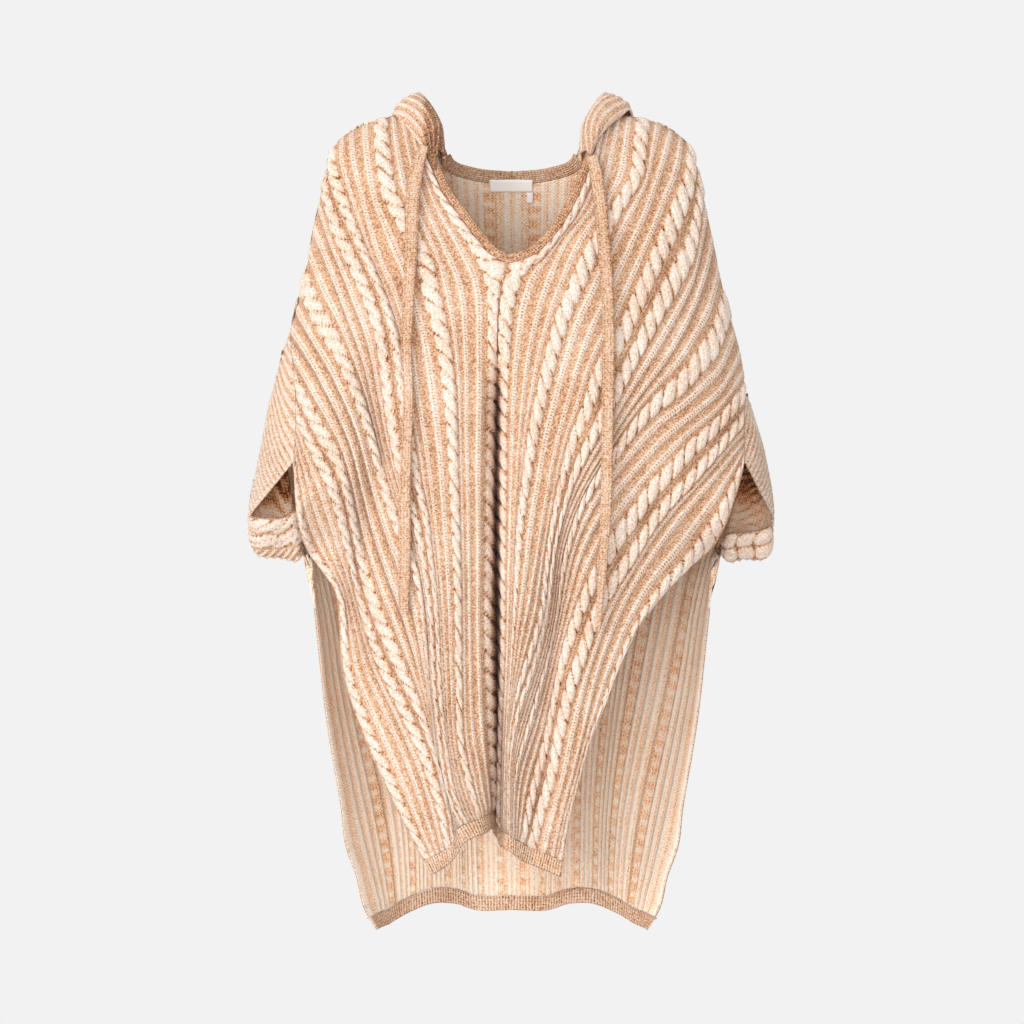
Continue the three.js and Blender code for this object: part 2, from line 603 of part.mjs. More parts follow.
// Height of each stitch column, lower where the cloth is drawn together
function stitchHeights(columns, grid) {
  return columns.map((column, c) => {
    const before = Math.max(c - 1, 0);
    const after = Math.min(c + 1, columns.length - 1);
    const wide = Math.max(columns[after].across - columns[before].across, 1);
    let run = 0;
    return grid.points[c].map((point, r) => {
      if (r > 0) run += point.distanceTo(grid.points[c][r - 1]);
      const spread = clamp(grid.points[after][r].distanceTo(grid.points[before][r]) / wide, 0.1, 1);
      const fromEdge = Math.min(r, grid.points[c].length - 1 - r);
      const open = spread * (fromEdge < EDGE_FLAT.length ? EDGE_FLAT[fromEdge] : 1);
      const swing = CABLE_SWING * Math.cos(Math.PI * run / CABLE_CROSSING);
      if (column.kind === 'rib') return RIB_HEIGHT * open;
      if (column.kind === 'first strand') return (CABLE_HEIGHT + swing) * open;
      if (column.kind === 'second strand') return (CABLE_HEIGHT - swing) * open;
      return 0;
    });
  });
}

// Rows closer together at the top, where the cloth turns over the shoulder
function rowsDown(count, vRow = null) {
  const rows = [0, 0.004, 0.014];
  for (let r = 1; r <= count; r++) rows.push(r / count);
  if (vRow !== null) {
    let nearest = 0;
    rows.forEach((row, r) => {
      if (Math.abs(row - vRow) < Math.abs(rows[nearest] - vRow)) nearest = r;
    });
    rows[nearest] = vRow;
  }
  return rows;
}

function every(count, step, always = []) {
  const kept = new Set([0, count - 1, ...always]);
  for (let i = 0; i < count; i += step) kept.add(i);
  return [...kept].filter((i) => i < count).sort((a, b) => a - b);
}

function indicesOf(list, wanted) {
  return list.map((item, i) => (wanted(item) ? i : -1)).filter((i) => i >= 0);
}

const middleCurve = splineXZ(MIDDLE);
const frontRight = new Cloth({
  lines: FRONT_RIGHT,
  side: 'front',
  hem: FRONT_HEM,
  outlineTo: SLEEVES.right.frontSeam[0],
  firstEdge: { neck: splineXZ(NECK_EDGE), middle: middleCurve },
});
const frontLeft = new Cloth({
  lines: FRONT_LEFT,
  side: 'front',
  hem: FRONT_HEM,
  outlineTo: SLEEVES.left.frontSeam[0],
  firstEdge: { neck: splineXZ(NECK_EDGE_LEFT), middle: middleCurve },
});
const halfBack = { lines: BACK, side: 'back', hem: BACK_HEM };
const backRight = new Cloth({ ...halfBack, outlineTo: SLEEVES.right.backSeam[0] });
const backLeft = new Cloth({ ...halfBack, outlineTo: SLEEVES.left.backSeam[0], mirror: -1 });

const frontColumns = wales(FRONT_PATTERN, 0);
frontColumns.push({ across: FRONT_WIDTH, kind: 'valley' });
const FRONT_ROWS = rowsDown(27, V_POINT);
const frontOutward = () => new THREE.Vector3(0, -1, 0);
const backOutward = () => new THREE.Vector3(0, 1, 0);

function placeAcross(cloth, inHem = false) {
  return (column, row) => cloth.place(column.across ?? column, row, inHem);
}

// At the outline the cloth faces straight sideways, so that front and back meet edge to edge
function squareToOutline(grid) {
  grid.points.forEach((line, c) => {
    if (Math.abs(line[0].y) < SEAM) grid.normals[c][0].setY(0).normalize();
  });
}

function frontPanel() {
  const body = new Body();
  const vIndex = FRONT_ROWS.indexOf(V_POINT);
  const halves = [frontRight, frontLeft].map((cloth) => clothGrid({
    columns: frontColumns, rows: FRONT_ROWS, place: placeAcross(cloth), outward: frontOutward }));
  for (let r = vIndex; r < FRONT_ROWS.length; r++) {
    const shared = halves[0].normals[0][r].clone().add(halves[1].normals[0][r]).normalize();
    halves.forEach((half) => half.normals[0][r].copy(shared));
  }
  const seamColumns = indicesOf(frontColumns, (column) => column.across > SLEEVES.left.frontSeam[0] + 8);
  const keepColumns = every(frontColumns.length, 5, [1, 3, ...seamColumns.filter((c) => c % 2)]);
  const keepRows = every(FRONT_ROWS.length, 4, indicesOf(FRONT_ROWS, (row) => row <= V_POINT));
  for (const grid of halves) {
    squareToOutline(grid);
    addWall(body, {
      grid,
      heights: stitchHeights(frontColumns, grid),
      wall: WALL,
      keepColumns,
      keepRows,
      keepSide: -1,
      rims: { top: true, hem: true, first: vIndex, last: true },
    });
  }
  return body.geometry();
}

const BACK_PATTERN = [
  'rib', 'cable', ...THREE_RIBS, 'cable', ...THREE_RIBS,
  'cable', ...THREE_RIBS, 'cable', 'rib', 'rib', 'cable',
];
const BACK_ROWS = rowsDown(21);

function backColumns() {
  const half = wales(BACK_PATTERN, RIB_PITCH / 2);
  const widest = half[half.length - 1].across;
  const side = half.map((column) => ({ ...column, across: column.across * BACK_WIDTH / widest }));
  const mirrored = side.map((column) => ({ ...column, across: -column.across })).reverse();
  return [...mirrored, { across: 0, kind: 'rib' }, ...side];
}

function placeBack(column, row, inHem = false) {
  const across = column.across ?? column;
  return across < 0 ? backLeft.place(-across, row, inHem) : backRight.place(across, row, inHem);
}

function backPanel() {
  const columns = backColumns();
  const grid = clothGrid({ columns, rows: BACK_ROWS, place: placeBack, outward: backOutward });
  squareToOutline(grid);
  const neckColumns = indicesOf(columns, (column) => Math.abs(column.across) < 105);
  const seamColumns = indicesOf(columns, (column) => Math.abs(column.across) > SLEEVES.left.backSeam[0] - 12);
  const body = new Body();
  addWall(body, {
    grid,
    heights: stitchHeights(columns, grid),
    wall: WALL,
    keepColumns: every(columns.length, 6, [...neckColumns.filter((c) => c % 2), ...seamColumns]),
    keepRows: every(BACK_ROWS.length, 4, [1, 2, 3, 4, 6]),
    keepSide: 1,
    rims: ALL_ROUND,
  });
  return body.geometry();
}

function frontHemBand() {
  const half = frontColumns
    .filter((column, c) => c < 10 || c % 3 === 0 || c === frontColumns.length - 1)
    .map((column) => column.across);
  const columns = [...half.slice(1).map((across) => -across).reverse(), ...half];
  const place = (across, row) => {
    const cloth = across < 0 ? frontLeft : frontRight;
    return cloth.place(Math.abs(across), row, true);
  };
  return thinStrip(columns, [0, 1], place, frontOutward, HEM_WALL);
}

function backHemBand() {
  const half = steps(24).map((share) => share * BACK_WIDTH);
  const columns = [...half.slice(1).map((across) => -across).reverse(), ...half];
  return thinStrip(columns, [0, 1], (across, row) => placeBack(across, row, true), backOutward, HEM_WALL);
}

// Surface through a table of sections: u runs along the table, v along each section
function sectionSurface(sections) {
  const along = sections[0].places.map((place, i) => (
    smoothThrough(sections.map((section) => new THREE.Vector3(...section.places[i])))));
  return (u, v) => smoothThrough(along.map((curve) => curve.getPoint(u))).getPoint(v);
}

function smoothThrough(points) {
  return new THREE.CatmullRomCurve3(points, false, 'catmullrom', 0.5);
}

function steps(count) {
  return Array.from({ length: count + 1 }, (unused, i) => i / count);
}

// A place just past a cloth's top edge, square to the edge and in line with the cloth
function pastEdge(cloth, across, gap, turn = new THREE.Vector3()) {
  const edge = cloth.place(across, 0);
  const away = edge.clone().sub(cloth.place(across, 0.012));
  const tangent = cloth.place(across + 2, 0).sub(cloth.place(Math.abs(across - 2), 0)).normalize();
  away.normalize().add(turn);
  away.addScaledVector(tangent, -away.dot(tangent)).normalize();
  return { point: edge.clone().addScaledVector(away, gap), normal: tangent.cross(away).normalize() };
}

// The same on the straight between the panel's two nearest columns, so that the edges run together
function besideColumns(cloth, columns, across, gap, turn) {
  const after = columns.findIndex((column) => column.across > across);
  const [from, to] = [columns[after - 1].across, columns[after].across];
  const [a, b] = [from, to].map((place) => pastEdge(cloth, place, gap, turn));
  const share = (across - from) / (to - from);
  return { point: a.point.lerp(b.point, share), normal: a.normal.lerp(b.normal, share).normalize() };
}

const SLEEVE_AROUND = 18;
const SLEEVE_DOWN = 16;
const SEAM_ENDS = [0.03, 0.97];

function sleeve(sideName) {
  const side = sideName === 'right' ? 1 : -1;
  const { frontSeam, backSeam, sections } = SLEEVES[sideName];
  const frontCloth = side > 0 ? frontRight : frontLeft;
  const backCloth = side > 0 ? backRight : backLeft;
  const edges = [
    [frontCloth, frontSeam, frontColumns, 0], [backCloth, backSeam, backColumns(), 1],
  ].map(([cloth, [from, to], panelColumns, turned]) => (share) => {
    const across = from + clamp(share, ...SEAM_ENDS) * (to - from);
    const turn = turned * smooth(UNDERARM_TURN * (share - UNDERARM_FROM));
    const outwards = new THREE.Vector3(1.6 * side, -0.8, -0.2).multiplyScalar(turn);
    return besideColumns(cloth, panelColumns, across, SLEEVE_SEAM + turn * UNDERARM_EASE, outwards);
  });
  const between = sections.map((section) => (
    smoothThrough(section.places.map(([x, y, z]) => new THREE.Vector3(side * x, y, z)))));
  const columns = steps(SLEEVE_AROUND);
  const rows = steps(SLEEVE_DOWN);
  const place = (column, row) => smoothThrough(
    [edges[0](row).point, ...between.map((curve) => curve.getPoint(row)), edges[1](row).point],
  ).getPoint(column);
  const [centreX, centreY, centreZ] = SLEEVE_CENTRE;
  const centre = new THREE.Vector3(side * centreX, centreY, centreZ);
  const outward = (point) => new THREE.Vector3().subVectors(point, centre);
  const grid = clothGrid({ columns, rows, place, outward });
  edges.forEach((edge, i) => {
    const line = i === 0 ? 0 : SLEEVE_AROUND;
    rows.forEach((row, r) => {
      const { normal } = edge(row);
      if (normal.dot(outward(grid.points[line][r])) < 0) normal.negate();
      grid.normals[line][r].copy(normal);
    });
  });
  const room = columns.map((column, c) => rows.map((row, r) => (
    grid.points[Math.min(c + 1, SLEEVE_AROUND)][r].distanceTo(grid.points[Math.max(c - 1, 0)][r]))));
  const heights = room.map((line, c) => line.map((wide) => (
    c % 2 === 1 ? SLEEVE_RELIEF * clamp(wide / SLEEVE_RIB, 0, 1) : 0)));
  const body = new Body();
  const wall = (c, r) => SLEEVE_WALL * (SLEEVE_TIP[Math.min(r, SLEEVE_DOWN - r)] ?? 1);
  addWall(body, { grid, heights, wall, keepColumns: every(columns.length, 2),
    keepRows: every(rows.length, 1), rims: ALL_ROUND });
  return body.geometry();
}

const HOOD_AROUND = 32;
const HOOD_DOWN = 10;

function hood() {
  const right = HOOD.map((section) => ({ places: section.places }));
  const left = HOOD.slice(0, -1).map((section) => (
    { places: section.places.map(([x, y, z]) => [-x, y, z]) }));
  const surface = sectionSurface([...right, ...left.reverse()]);
  const columns = steps(HOOD_AROUND);
  const rows = steps(HOOD_DOWN);
  const centre = new THREE.Vector3(...BODY_CENTRE);
  const outward = (point) => new THREE.Vector3().subVectors(point, centre);
  const grid = clothGrid({ columns, rows, place: surface, outward });
  const heights = columns.map((column, c) => rows.map(() => (c % 2 ? HOOD_RELIEF : 0)));
  const body = new Body();
  const wall = (c) => HOOD_WALL * (HOOD_CORNER[Math.min(c, HOOD_AROUND - c)] ?? 1);
  addWall(body, { grid, heights, wall, keepColumns: every(columns.length, 1),
    keepRows: every(rows.length, 2), rims: ALL_ROUND });
  return body.geometry();
}

// A flat knitted tie: an oval section carried down its line
const TIE_RINGS = 20;
const TIE_SIDES = 8;

function tie(route) {
  const stops = route.map((stop) => new THREE.Vector3(...stop.at));
  const line = new THREE.CatmullRomCurve3(stops, false, 'centripetal');
  const body = new Body();
  const rings = steps(TIE_RINGS).map((share) => {
    const centre = line.getPoint(share);
    const tangent = line.getTangent(share);
    const wide = new THREE.Vector3(1, 0, 0).addScaledVector(tangent, -tangent.x).normalize();
    const thick = new THREE.Vector3().crossVectors(tangent, wide).normalize();
    const place = share * (route.length - 1);
    const i = Math.min(Math.floor(place), route.length - 2);
    const half = route[i].half + (place - i) * (route[i + 1].half - route[i].half);
    return Array.from({ length: TIE_SIDES }, (unused, k) => {
      const angle = 2 * Math.PI * (k + 0.5) / TIE_SIDES;
      return centre.clone().addScaledVector(wide, half * Math.cos(angle))
        .addScaledVector(thick, 0.5 * TIE_THICKNESS * Math.sin(angle) / Math.cos(Math.PI / TIE_SIDES));
    });
  });
  for (let r = 0; r < TIE_RINGS; r++) {
    for (let k = 0; k < TIE_SIDES; k++) {
      const next = (k + 1) % TIE_SIDES;
      body.quad(rings[r][k], rings[r][next], rings[r + 1][next], rings[r + 1][k]);
    }
  }
  for (const ring of [rings[0], rings[TIE_RINGS]]) {
    for (let k = 1; k + 1 < TIE_SIDES; k++) body.triangle(ring[0], ring[k], ring[k + 1]);
  }
  return body.geometry();
}

const ROW_NUDGE = 0.004;

// Rolled edge of the V: a strip inside the front's neck edges, from corner to corner
function neckBinding() {
  const down = FRONT_ROWS.filter((row) => row <= V_POINT);
  const toOpening = (cloth, mirror) => down.map((row) => {
    const edge = cloth.place(0, row);
    const below = cloth.place(0, Math.min(row + ROW_NUDGE, V_POINT));
    const along = below.sub(cloth.place(0, Math.max(row - ROW_NUDGE, 0.0001)));
    const across = new THREE.Vector3(-mirror * Math.abs(along.z), 0, Math.abs(along.x)).normalize();
    return { edge, across };
  });
  const right = toOpening(frontRight, 1);
  const left = toOpening(frontLeft, -1);
  right[right.length - 1].across.set(0, 0, 1);
  const chain = [...right, ...left.slice(0, -1).reverse()];
  const place = (i, row) => {
    const width = LINKED_SEAM + row * (NECK_ROLL - LINKED_SEAM);
    const point = chain[i].edge.clone().addScaledVector(chain[i].across, width);
    point.y -= row === 0.5 ? BINDING_ROLL : 0;
    return point;
  };
  return thinStrip(chain.map((stop, i) => i), [0, 0.5, 1], place, frontOutward, WALL);
}

// A plain strip of cloth over a grid of columns and rows
function thinStrip(columns, rows, place, outward, wall) {
  const grid = clothGrid({ columns, rows, place, outward });
  const body = new Body();
  addWall(body, { grid, heights: null, wall, keepColumns: columns.map((column, c) => c),
    keepRows: [0, rows.length - 1], rims: ALL_ROUND });
  return body.geometry();
}

// Band inside the back neck, standing on the back's neck edge
function backNeckBand() {
  const columns = backColumns().map((column) => column.across)
    .filter((across) => Math.abs(across) < BACK_BAND_REACH);
  const place = (across, row) => {
    const cloth = across < 0 ? backLeft : backRight;
    return pastEdge(cloth, Math.abs(across), LINKED_SEAM + row * BACK_BAND).point;
  };
  return thinStrip(columns, [0, 1], place, backOutward, WALL);
}

// A flat woven piece sewn inside the back
function sewnLabel({ left, right, top, bottom }) {
  const columns = steps(4).map((share) => left + share * (right - left));
  const place = (x, row) => {
    const z = top + row * (bottom - top);
    return new THREE.Vector3(x, depthAt(x, z, 'back') - WALL - LABEL_CLEAR, z);
  };
  return thinStrip(columns, [0, 1], place, backOutward, LABEL_THICKNESS);
}

function piece(name, geometry, colour, roughness = 0.95) {
  const material = new THREE.MeshStandardMaterial({ color: colour, roughness, metalness: 0 });
  const mesh = new THREE.Mesh(geometry, material);
  mesh.name = name;
  return mesh;
}

const sweater = new THREE.Group();
sweater.add(
  piece('front_panel', frontPanel(), COLOURS.knit),
  piece('back_panel', backPanel(), COLOURS.knit),
  piece('sleeve_left', sleeve('left'), COLOURS.knit),
  piece('sleeve_right', sleeve('right'), COLOURS.knit),
  piece('hood', hood(), COLOURS.knit),
  piece('tie_left', tie(TIE_LEFT), COLOURS.rib),
  piece('tie_right', tie(TIE_RIGHT), COLOURS.rib),
  piece('front_hem_band', frontHemBand(), COLOURS.rib),
  piece('back_hem_band', backHemBand(), COLOURS.rib),
  piece('neck_binding', neckBinding(), COLOURS.rib),
  piece('back_neck_band', backNeckBand(), COLOURS.rib),
  piece('label', sewnLabel(LABEL), COLOURS.label, 0.7),
  piece('size_tab', sewnLabel(SIZE_TAB), COLOURS.label, 0.7),
);

export default sweater;
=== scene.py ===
# %% [markdown]
# # A hooded poncho sweater in cable knit
# The garment is filled out as if worn, and there is nothing inside it. The solids come from the
# CAD part. This lesson dresses them: each panel of the real sweater becomes a knitted sheet with
# its ribs, cables and wrong side. Everything is in metres here, in the frame of the part; the
# tables below are in millimetres, as a maker would measure them.

# %% load the fixed frame
import math
import bpy
import bmesh
import numpy as np
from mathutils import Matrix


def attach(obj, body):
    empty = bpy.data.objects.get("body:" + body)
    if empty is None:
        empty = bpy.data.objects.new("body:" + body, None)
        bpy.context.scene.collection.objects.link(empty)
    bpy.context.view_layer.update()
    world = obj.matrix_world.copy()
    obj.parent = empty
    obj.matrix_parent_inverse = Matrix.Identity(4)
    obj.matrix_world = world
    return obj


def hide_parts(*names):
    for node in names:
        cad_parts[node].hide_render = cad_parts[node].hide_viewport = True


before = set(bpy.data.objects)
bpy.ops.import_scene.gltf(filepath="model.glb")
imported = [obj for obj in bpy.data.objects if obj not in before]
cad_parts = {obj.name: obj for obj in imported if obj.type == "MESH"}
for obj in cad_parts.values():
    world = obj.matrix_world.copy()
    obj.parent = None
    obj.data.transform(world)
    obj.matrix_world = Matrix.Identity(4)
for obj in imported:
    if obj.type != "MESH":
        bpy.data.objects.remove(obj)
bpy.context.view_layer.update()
MM = 0.001
print("nodes to dress:", sorted(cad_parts))

# %% [markdown]
# ## Camera, light and floor
# The photograph is taken from far away, straight at the front and level with the middle of the
# garment, so the lens is long. One large soft lamp on the left does the modelling, and a pale
# room fills the rest. The floor is plain; it lies well below the hem, as the garment hangs free.

# %% camera
PHOTO_PIXELS = 1024
MM_PER_PIXEL = 1.15
SHOULDER_ROW = 130            # pixel row of the part's origin
CAMERA_DISTANCE = 9.5
SENSOR = 36.0

frame_width = PHOTO_PIXELS * MM_PER_PIXEL * MM
camera_data = bpy.data.cameras.new("photo_camera")
camera = bpy.data.objects.new("photo_camera", camera_data)
bpy.context.collection.objects.link(camera)
camera_data.sensor_width = SENSOR
camera_data.lens = SENSOR * CAMERA_DISTANCE / frame_width
camera_data.clip_end = 100
camera.location = (0, -CAMERA_DISTANCE, (SHOULDER_ROW - PHOTO_PIXELS / 2) * MM_PER_PIXEL * MM)
camera.rotation_euler = (math.pi / 2, 0, 0)
bpy.context.scene.camera = camera
print("lens", round(camera_data.lens), "mm, height", round(camera.location.z, 3), "m")

# %% small helpers: colours and nodes
def linear(code):
    """An sRGB hex colour as linear red, green, blue and alpha."""
    parts = [int(code[i:i + 2], 16) / 255 for i in (1, 3, 5)]
    return tuple(p / 12.92 if p <= 0.04045 else ((p + 0.055) / 1.055) ** 2.4 for p in parts) + (1.0,)


def add_node(tree, kind, *inputs, sockets=None, **settings):
    """Adds a node with its settings. Inputs fill its sockets in order, or by name in sockets:
    an output of another node is linked, anything else is set. Returns the node's outputs."""
    node = tree.nodes.new(kind)
    for name, value in settings.items():
        setattr(node, name, value)
    pairs = list(zip(node.inputs, inputs))
    pairs += [(node.inputs[name], value) for name, value in (sockets or {}).items()]
    for socket, value in pairs:
        if isinstance(value, bpy.types.NodeSocket):
            tree.links.new(value, socket)
        elif value is not None:
            socket.default_value = value
    return node.outputs


MATH = "ShaderNodeMath"

# %% light and floor
ROOM_TONE = "#f2f2f2"
FLOOR_TONE = "#e2e2e2"
FLOOR_HEIGHT = -1.3
FLOOR_REACH = 3.0
LAMP_POWER = 126
LAMP_SIZE = 2.0
FILL_POWER = 112
FILL_SIZE = 3.0

bpy.context.scene.view_settings.view_transform = "Standard"
room = bpy.data.worlds.new("pale_room")
bpy.context.scene.world = room
room.use_nodes = True
room.node_tree.nodes["Background"].inputs[0].default_value = linear(ROOM_TONE)
room.node_tree.nodes["Background"].inputs[1].default_value = 1.0


def soft_lamp(name, place, aim, power, size):
    data = bpy.data.lights.new(name, "AREA")
    data.energy = power
    data.size = size
    lamp = bpy.data.objects.new(name, data)
    bpy.context.collection.objects.link(lamp)
    lamp.location = place
    direction = np.array(aim) - np.array(place)
    flat = math.hypot(direction[0], direction[1])
    lamp.rotation_euler = (math.pi / 2 - math.atan2(-direction[2], flat), 0,
                           math.atan2(direction[1], direction[0]) - math.pi / 2)
    return lamp


soft_lamp("soft_lamp_left", (-3.5, -3.5, 0.5), (0, 0, -0.4), LAMP_POWER, LAMP_SIZE)
soft_lamp("soft_lamp_front", (-0.8, -5.5, -0.2), (0, 0, -0.5), FILL_POWER, FILL_SIZE)

floor_mesh = bmesh.new()
bmesh.ops.create_grid(floor_mesh, x_segments=4, y_segments=4, size=FLOOR_REACH)
bmesh.ops.translate(floor_mesh, verts=floor_mesh.verts, vec=(0, 0, FLOOR_HEIGHT))
floor_data = bpy.data.meshes.new("floor")
floor_mesh.to_mesh(floor_data)
floor_mesh.free()
floor = bpy.data.objects.new("floor", floor_data)
bpy.context.collection.objects.link(floor)
floor_paint = bpy.data.materials.new("matt_studio_floor")
floor_paint.use_nodes = True
floor_shader = floor_paint.node_tree.nodes["Principled BSDF"]
floor_shader.inputs["Base Color"].default_value = linear(FLOOR_TONE)
floor_shader.inputs["Roughness"].default_value = 0.9
floor_data.materials.append(floor_paint)
print("floor at", FLOOR_HEIGHT, "m")

# %% [markdown]
# ## Smooth lines through measured stops
# Every knitted piece follows lines that were measured on the garment. Two kinds of smooth curve
# join the stops: one for the long guide lines, which keeps its shape where stops lie close
# together, and one that joins the guides across the cloth.

# %% curves
SEAM = 0.3
HALF_SEAM = SEAM / 2


def smooth(value):
    v = np.clip(value, 0, 1)
    return v * v * (3 - 2 * v)


def unit(vectors):
    return vectors / np.maximum(np.linalg.norm(vectors, axis=-1, keepdims=True), 1e-9)


def past_ends(points):
    return np.concatenate([2 * points[:1] - points[1:2], points, 2 * points[-1:] - points[-2:-1]])


def through(points, at):
    """Places 0..1 on a smooth curve through points, which lie along the first axis."""
    points = np.asarray(points, float)
    last = len(points) - 1
    padded = past_ends(points)
    place = np.clip(np.asarray(at, float), 0, 1) * last
    i = np.minimum(place.astype(int), last - 1)
    t = (place - i).reshape((-1,) + (1,) * (points.ndim - 1))
    before, start, end, after = padded[i], padded[i + 1], padded[i + 2], padded[i + 3]
    leave = (end - before) / 2
    arrive = (after - start) / 2
    return ((2 * start - 2 * end + leave + arrive) * t ** 3
            + (3 * end - 3 * start - 2 * leave - arrive) * t ** 2 + leave * t + start)


def guide_line(stops, steps=24):
    """A close chain of points through the stops, and the distance run at each."""
    padded = past_ends(np.asarray(stops, float))
    share = np.linspace(0, 1, steps, endpoint=False)[:, None]
    parts = []
    for i in range(len(stops) - 1):
        p0, p1, p2, p3 = padded[i:i + 4]
        d0, d1, d2 = [np.linalg.norm(b - a) ** 0.5 for a, b in ((p0, p1), (p1, p2), (p2, p3))]
        leave = ((p1 - p0) / d0 - (p2 - p0) / (d0 + d1) + (p2 - p1) / d1) * d1
        arrive = ((p2 - p1) / d1 - (p3 - p1) / (d1 + d2) + (p3 - p2) / d2) * d1
        parts.append(p1 + leave * share + (3 * p2 - 3 * p1 - 2 * leave - arrive) * share ** 2
                     + (2 * p1 - 2 * p2 + leave + arrive) * share ** 3)
    parts.append(padded[-2:-1])
    points = np.concatenate(parts)
    run = np.concatenate([[0], np.cumsum(np.linalg.norm(np.diff(points, axis=0), axis=1))])
    return points, run


print("curves ready")

# %% [markdown]
# ## From arrays to knitted sheets
# A sheet starts as a grid made by an operator, with one vertex for each place on the cloth, and
# its vertices are then moved to where the cloth lies. The right side and the wrong side are two
# such grids, joined round their edges, so that the sheet is a closed thin wall. Each vertex also
# carries what the wool needs to know: the distance across and along the knit, the distance from
# the nearest rib, how far the stitch stands out, whether it is part of a cable, and how much
# painted shade it gets.

# %% a grid of cloth and a closed sheet
def cloth_grid(bm, layers, points, stitch, relief, face_kind):
    """One side of a cloth. points, stitch and relief are arrays of columns, rows and three values."""
    known = len(bm.faces)
    columns, rows = points.shape[:2]
    made = bmesh.ops.create_grid(bm, x_segments=rows - 1, y_segments=columns - 1, size=1.0)
    values = [array.reshape(-1, 3).tolist() for array in (points * MM, stitch, relief)]
    for vert, place, knit, raised in zip(made["verts"], *values):
        vert.co = place
        vert[layers[0]] = knit
        vert[layers[1]] = raised
    bm.faces.ensure_lookup_table()
    for face in bm.faces[known:]:
        face.material_index = face_kind
        face.smooth = True


def cloth_sheet(name, sides, materials, weld=0.0):
    """A closed sheet from its outer side and its inner side, each a list of grids."""
    bm = bmesh.new()
    layers = [bm.verts.layers.float_vector.new(layer) for layer in ("stitch", "relief")]
    for kind, grids in enumerate(sides):
        for points, stitch, relief in grids:
            cloth_grid(bm, layers, points, stitch, relief, kind)
    if weld:
        for kind in (0, 1):
            verts = {v for face in bm.faces if face.material_index == kind for v in face.verts}
            bmesh.ops.remove_doubles(bm, verts=list(verts), dist=weld * MM)
    rim = [edge for edge in bm.edges if edge.is_boundary]
    bridged = bmesh.ops.bridge_loops(bm, edges=rim)
    for face in bridged["faces"]:
        face.material_index = 0
        face.smooth = True
    bmesh.ops.recalc_face_normals(bm, faces=bm.faces)
    open_edges = sum(1 for edge in bm.edges if not edge.is_manifold)
    mesh = bpy.data.meshes.new(name)
    bm.to_mesh(mesh)
    triangles = sum(len(face.verts) - 2 for face in bm.faces)
    bm.free()
    for material in materials:
        mesh.materials.append(material)
    piece = bpy.data.objects.new(name, mesh)
    bpy.context.collection.objects.link(piece)
    print(name, triangles, "triangles, open edges", open_edges)
    return piece


def on_sweater(piece, slot, *nodes):
    """The piece rides with the garment and stands for its CAD nodes, which are hidden. Its slot is not used.
    """
    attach(piece, "root")
    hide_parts(*nodes)
    return piece


def facing(points, outward):
    """Unit normals of a grid of places, all turned to the side that outward points to."""
    columns, rows = np.arange(points.shape[0]), np.arange(points.shape[1])
    across = (points[np.minimum(columns + 1, columns[-1])] - points[np.maximum(columns - 1, 0)])
    down = (points[:, np.minimum(rows + 1, rows[-1])] - points[:, np.maximum(rows - 1, 0)])
    normals = unit(np.cross(across, down))
    return normals * (1 if np.sum(normals * outward) > 0 else -1)


def run_along(points, axis):
    """Distance run over the cloth along one axis of a grid."""
    steps = np.linalg.norm(np.diff(points, axis=axis), axis=-1)
    start = np.zeros_like(np.take(steps, [0], axis=axis))
    return np.concatenate([start, np.cumsum(steps, axis=axis)], axis=axis)


# %% [markdown]
# ## The wool
# The yarn is a bulky marl: pale ivory fibres over a warm tan core, slightly fuzzy. The crests of
# ribs and cables show the ivory and the ground between them the tan. The small holes between
# stitches are darkened with painted shade, as are the grooves of the cables and some deep folds.
# Each finish turns the stitch distances into one tone from 0, a dark hole, to 1, a lit crest, and
# a colour ramp gives it the yarn's colours. Real stitches are about 3.5 mm long; that is three
# pixels of the photograph, so they are drawn at their true size.

# %% yarn
STITCH = 3.6                  # length of one chain stitch of a rib
CROSS_STITCH = 2.6            # spacing of the purl bars between ribs
STRAND_LINE = 3.0             # spacing of the yarn lines on a cable
CABLE_SLANT = math.radians(28)
FUZZ = 2.1                    # size of the marl's flecks
BLOTCH = 45.0                 # size of the slow change of tone
MARL = (("#43281a", 0.0), ("#9c6a4c", 0.22), ("#cc9e78", 0.46), ("#ddc1ab", 0.70), ("#ece1d9", 1.0))
# The wrong side's ramp is brighter and warmer than the yarn's own: painted light that stands in for light
# bounced inside the garment.
PURL_MARL_PAINTED_BOUNCE = (("#63381f", 0.0), ("#be7d4f", 0.22), ("#f0b586", 0.46), ("#fdd9b8", 0.70), ("#fff0e0", 1.0))


def wave(tree, distance, spacing):
    """A sine of a distance in millimetres, from -1 to 1."""
    turns = add_node(tree, MATH, distance, 2 * math.pi / spacing, operation="MULTIPLY")[0]
    return add_node(tree, MATH, turns, operation="SINE")[0]


def weighted(tree, *terms):
    """The sum of values, each times its weight."""
    total = None
    for value, weight in terms:
        total = add_node(tree, MATH, value, weight, 0.0 if total is None else total,
                         operation="MULTIPLY_ADD")[0]
    return total


def blend(tree, share, low, high):
    return add_node(tree, "ShaderNodeMix", share, None, low, high, data_type="FLOAT")[0]


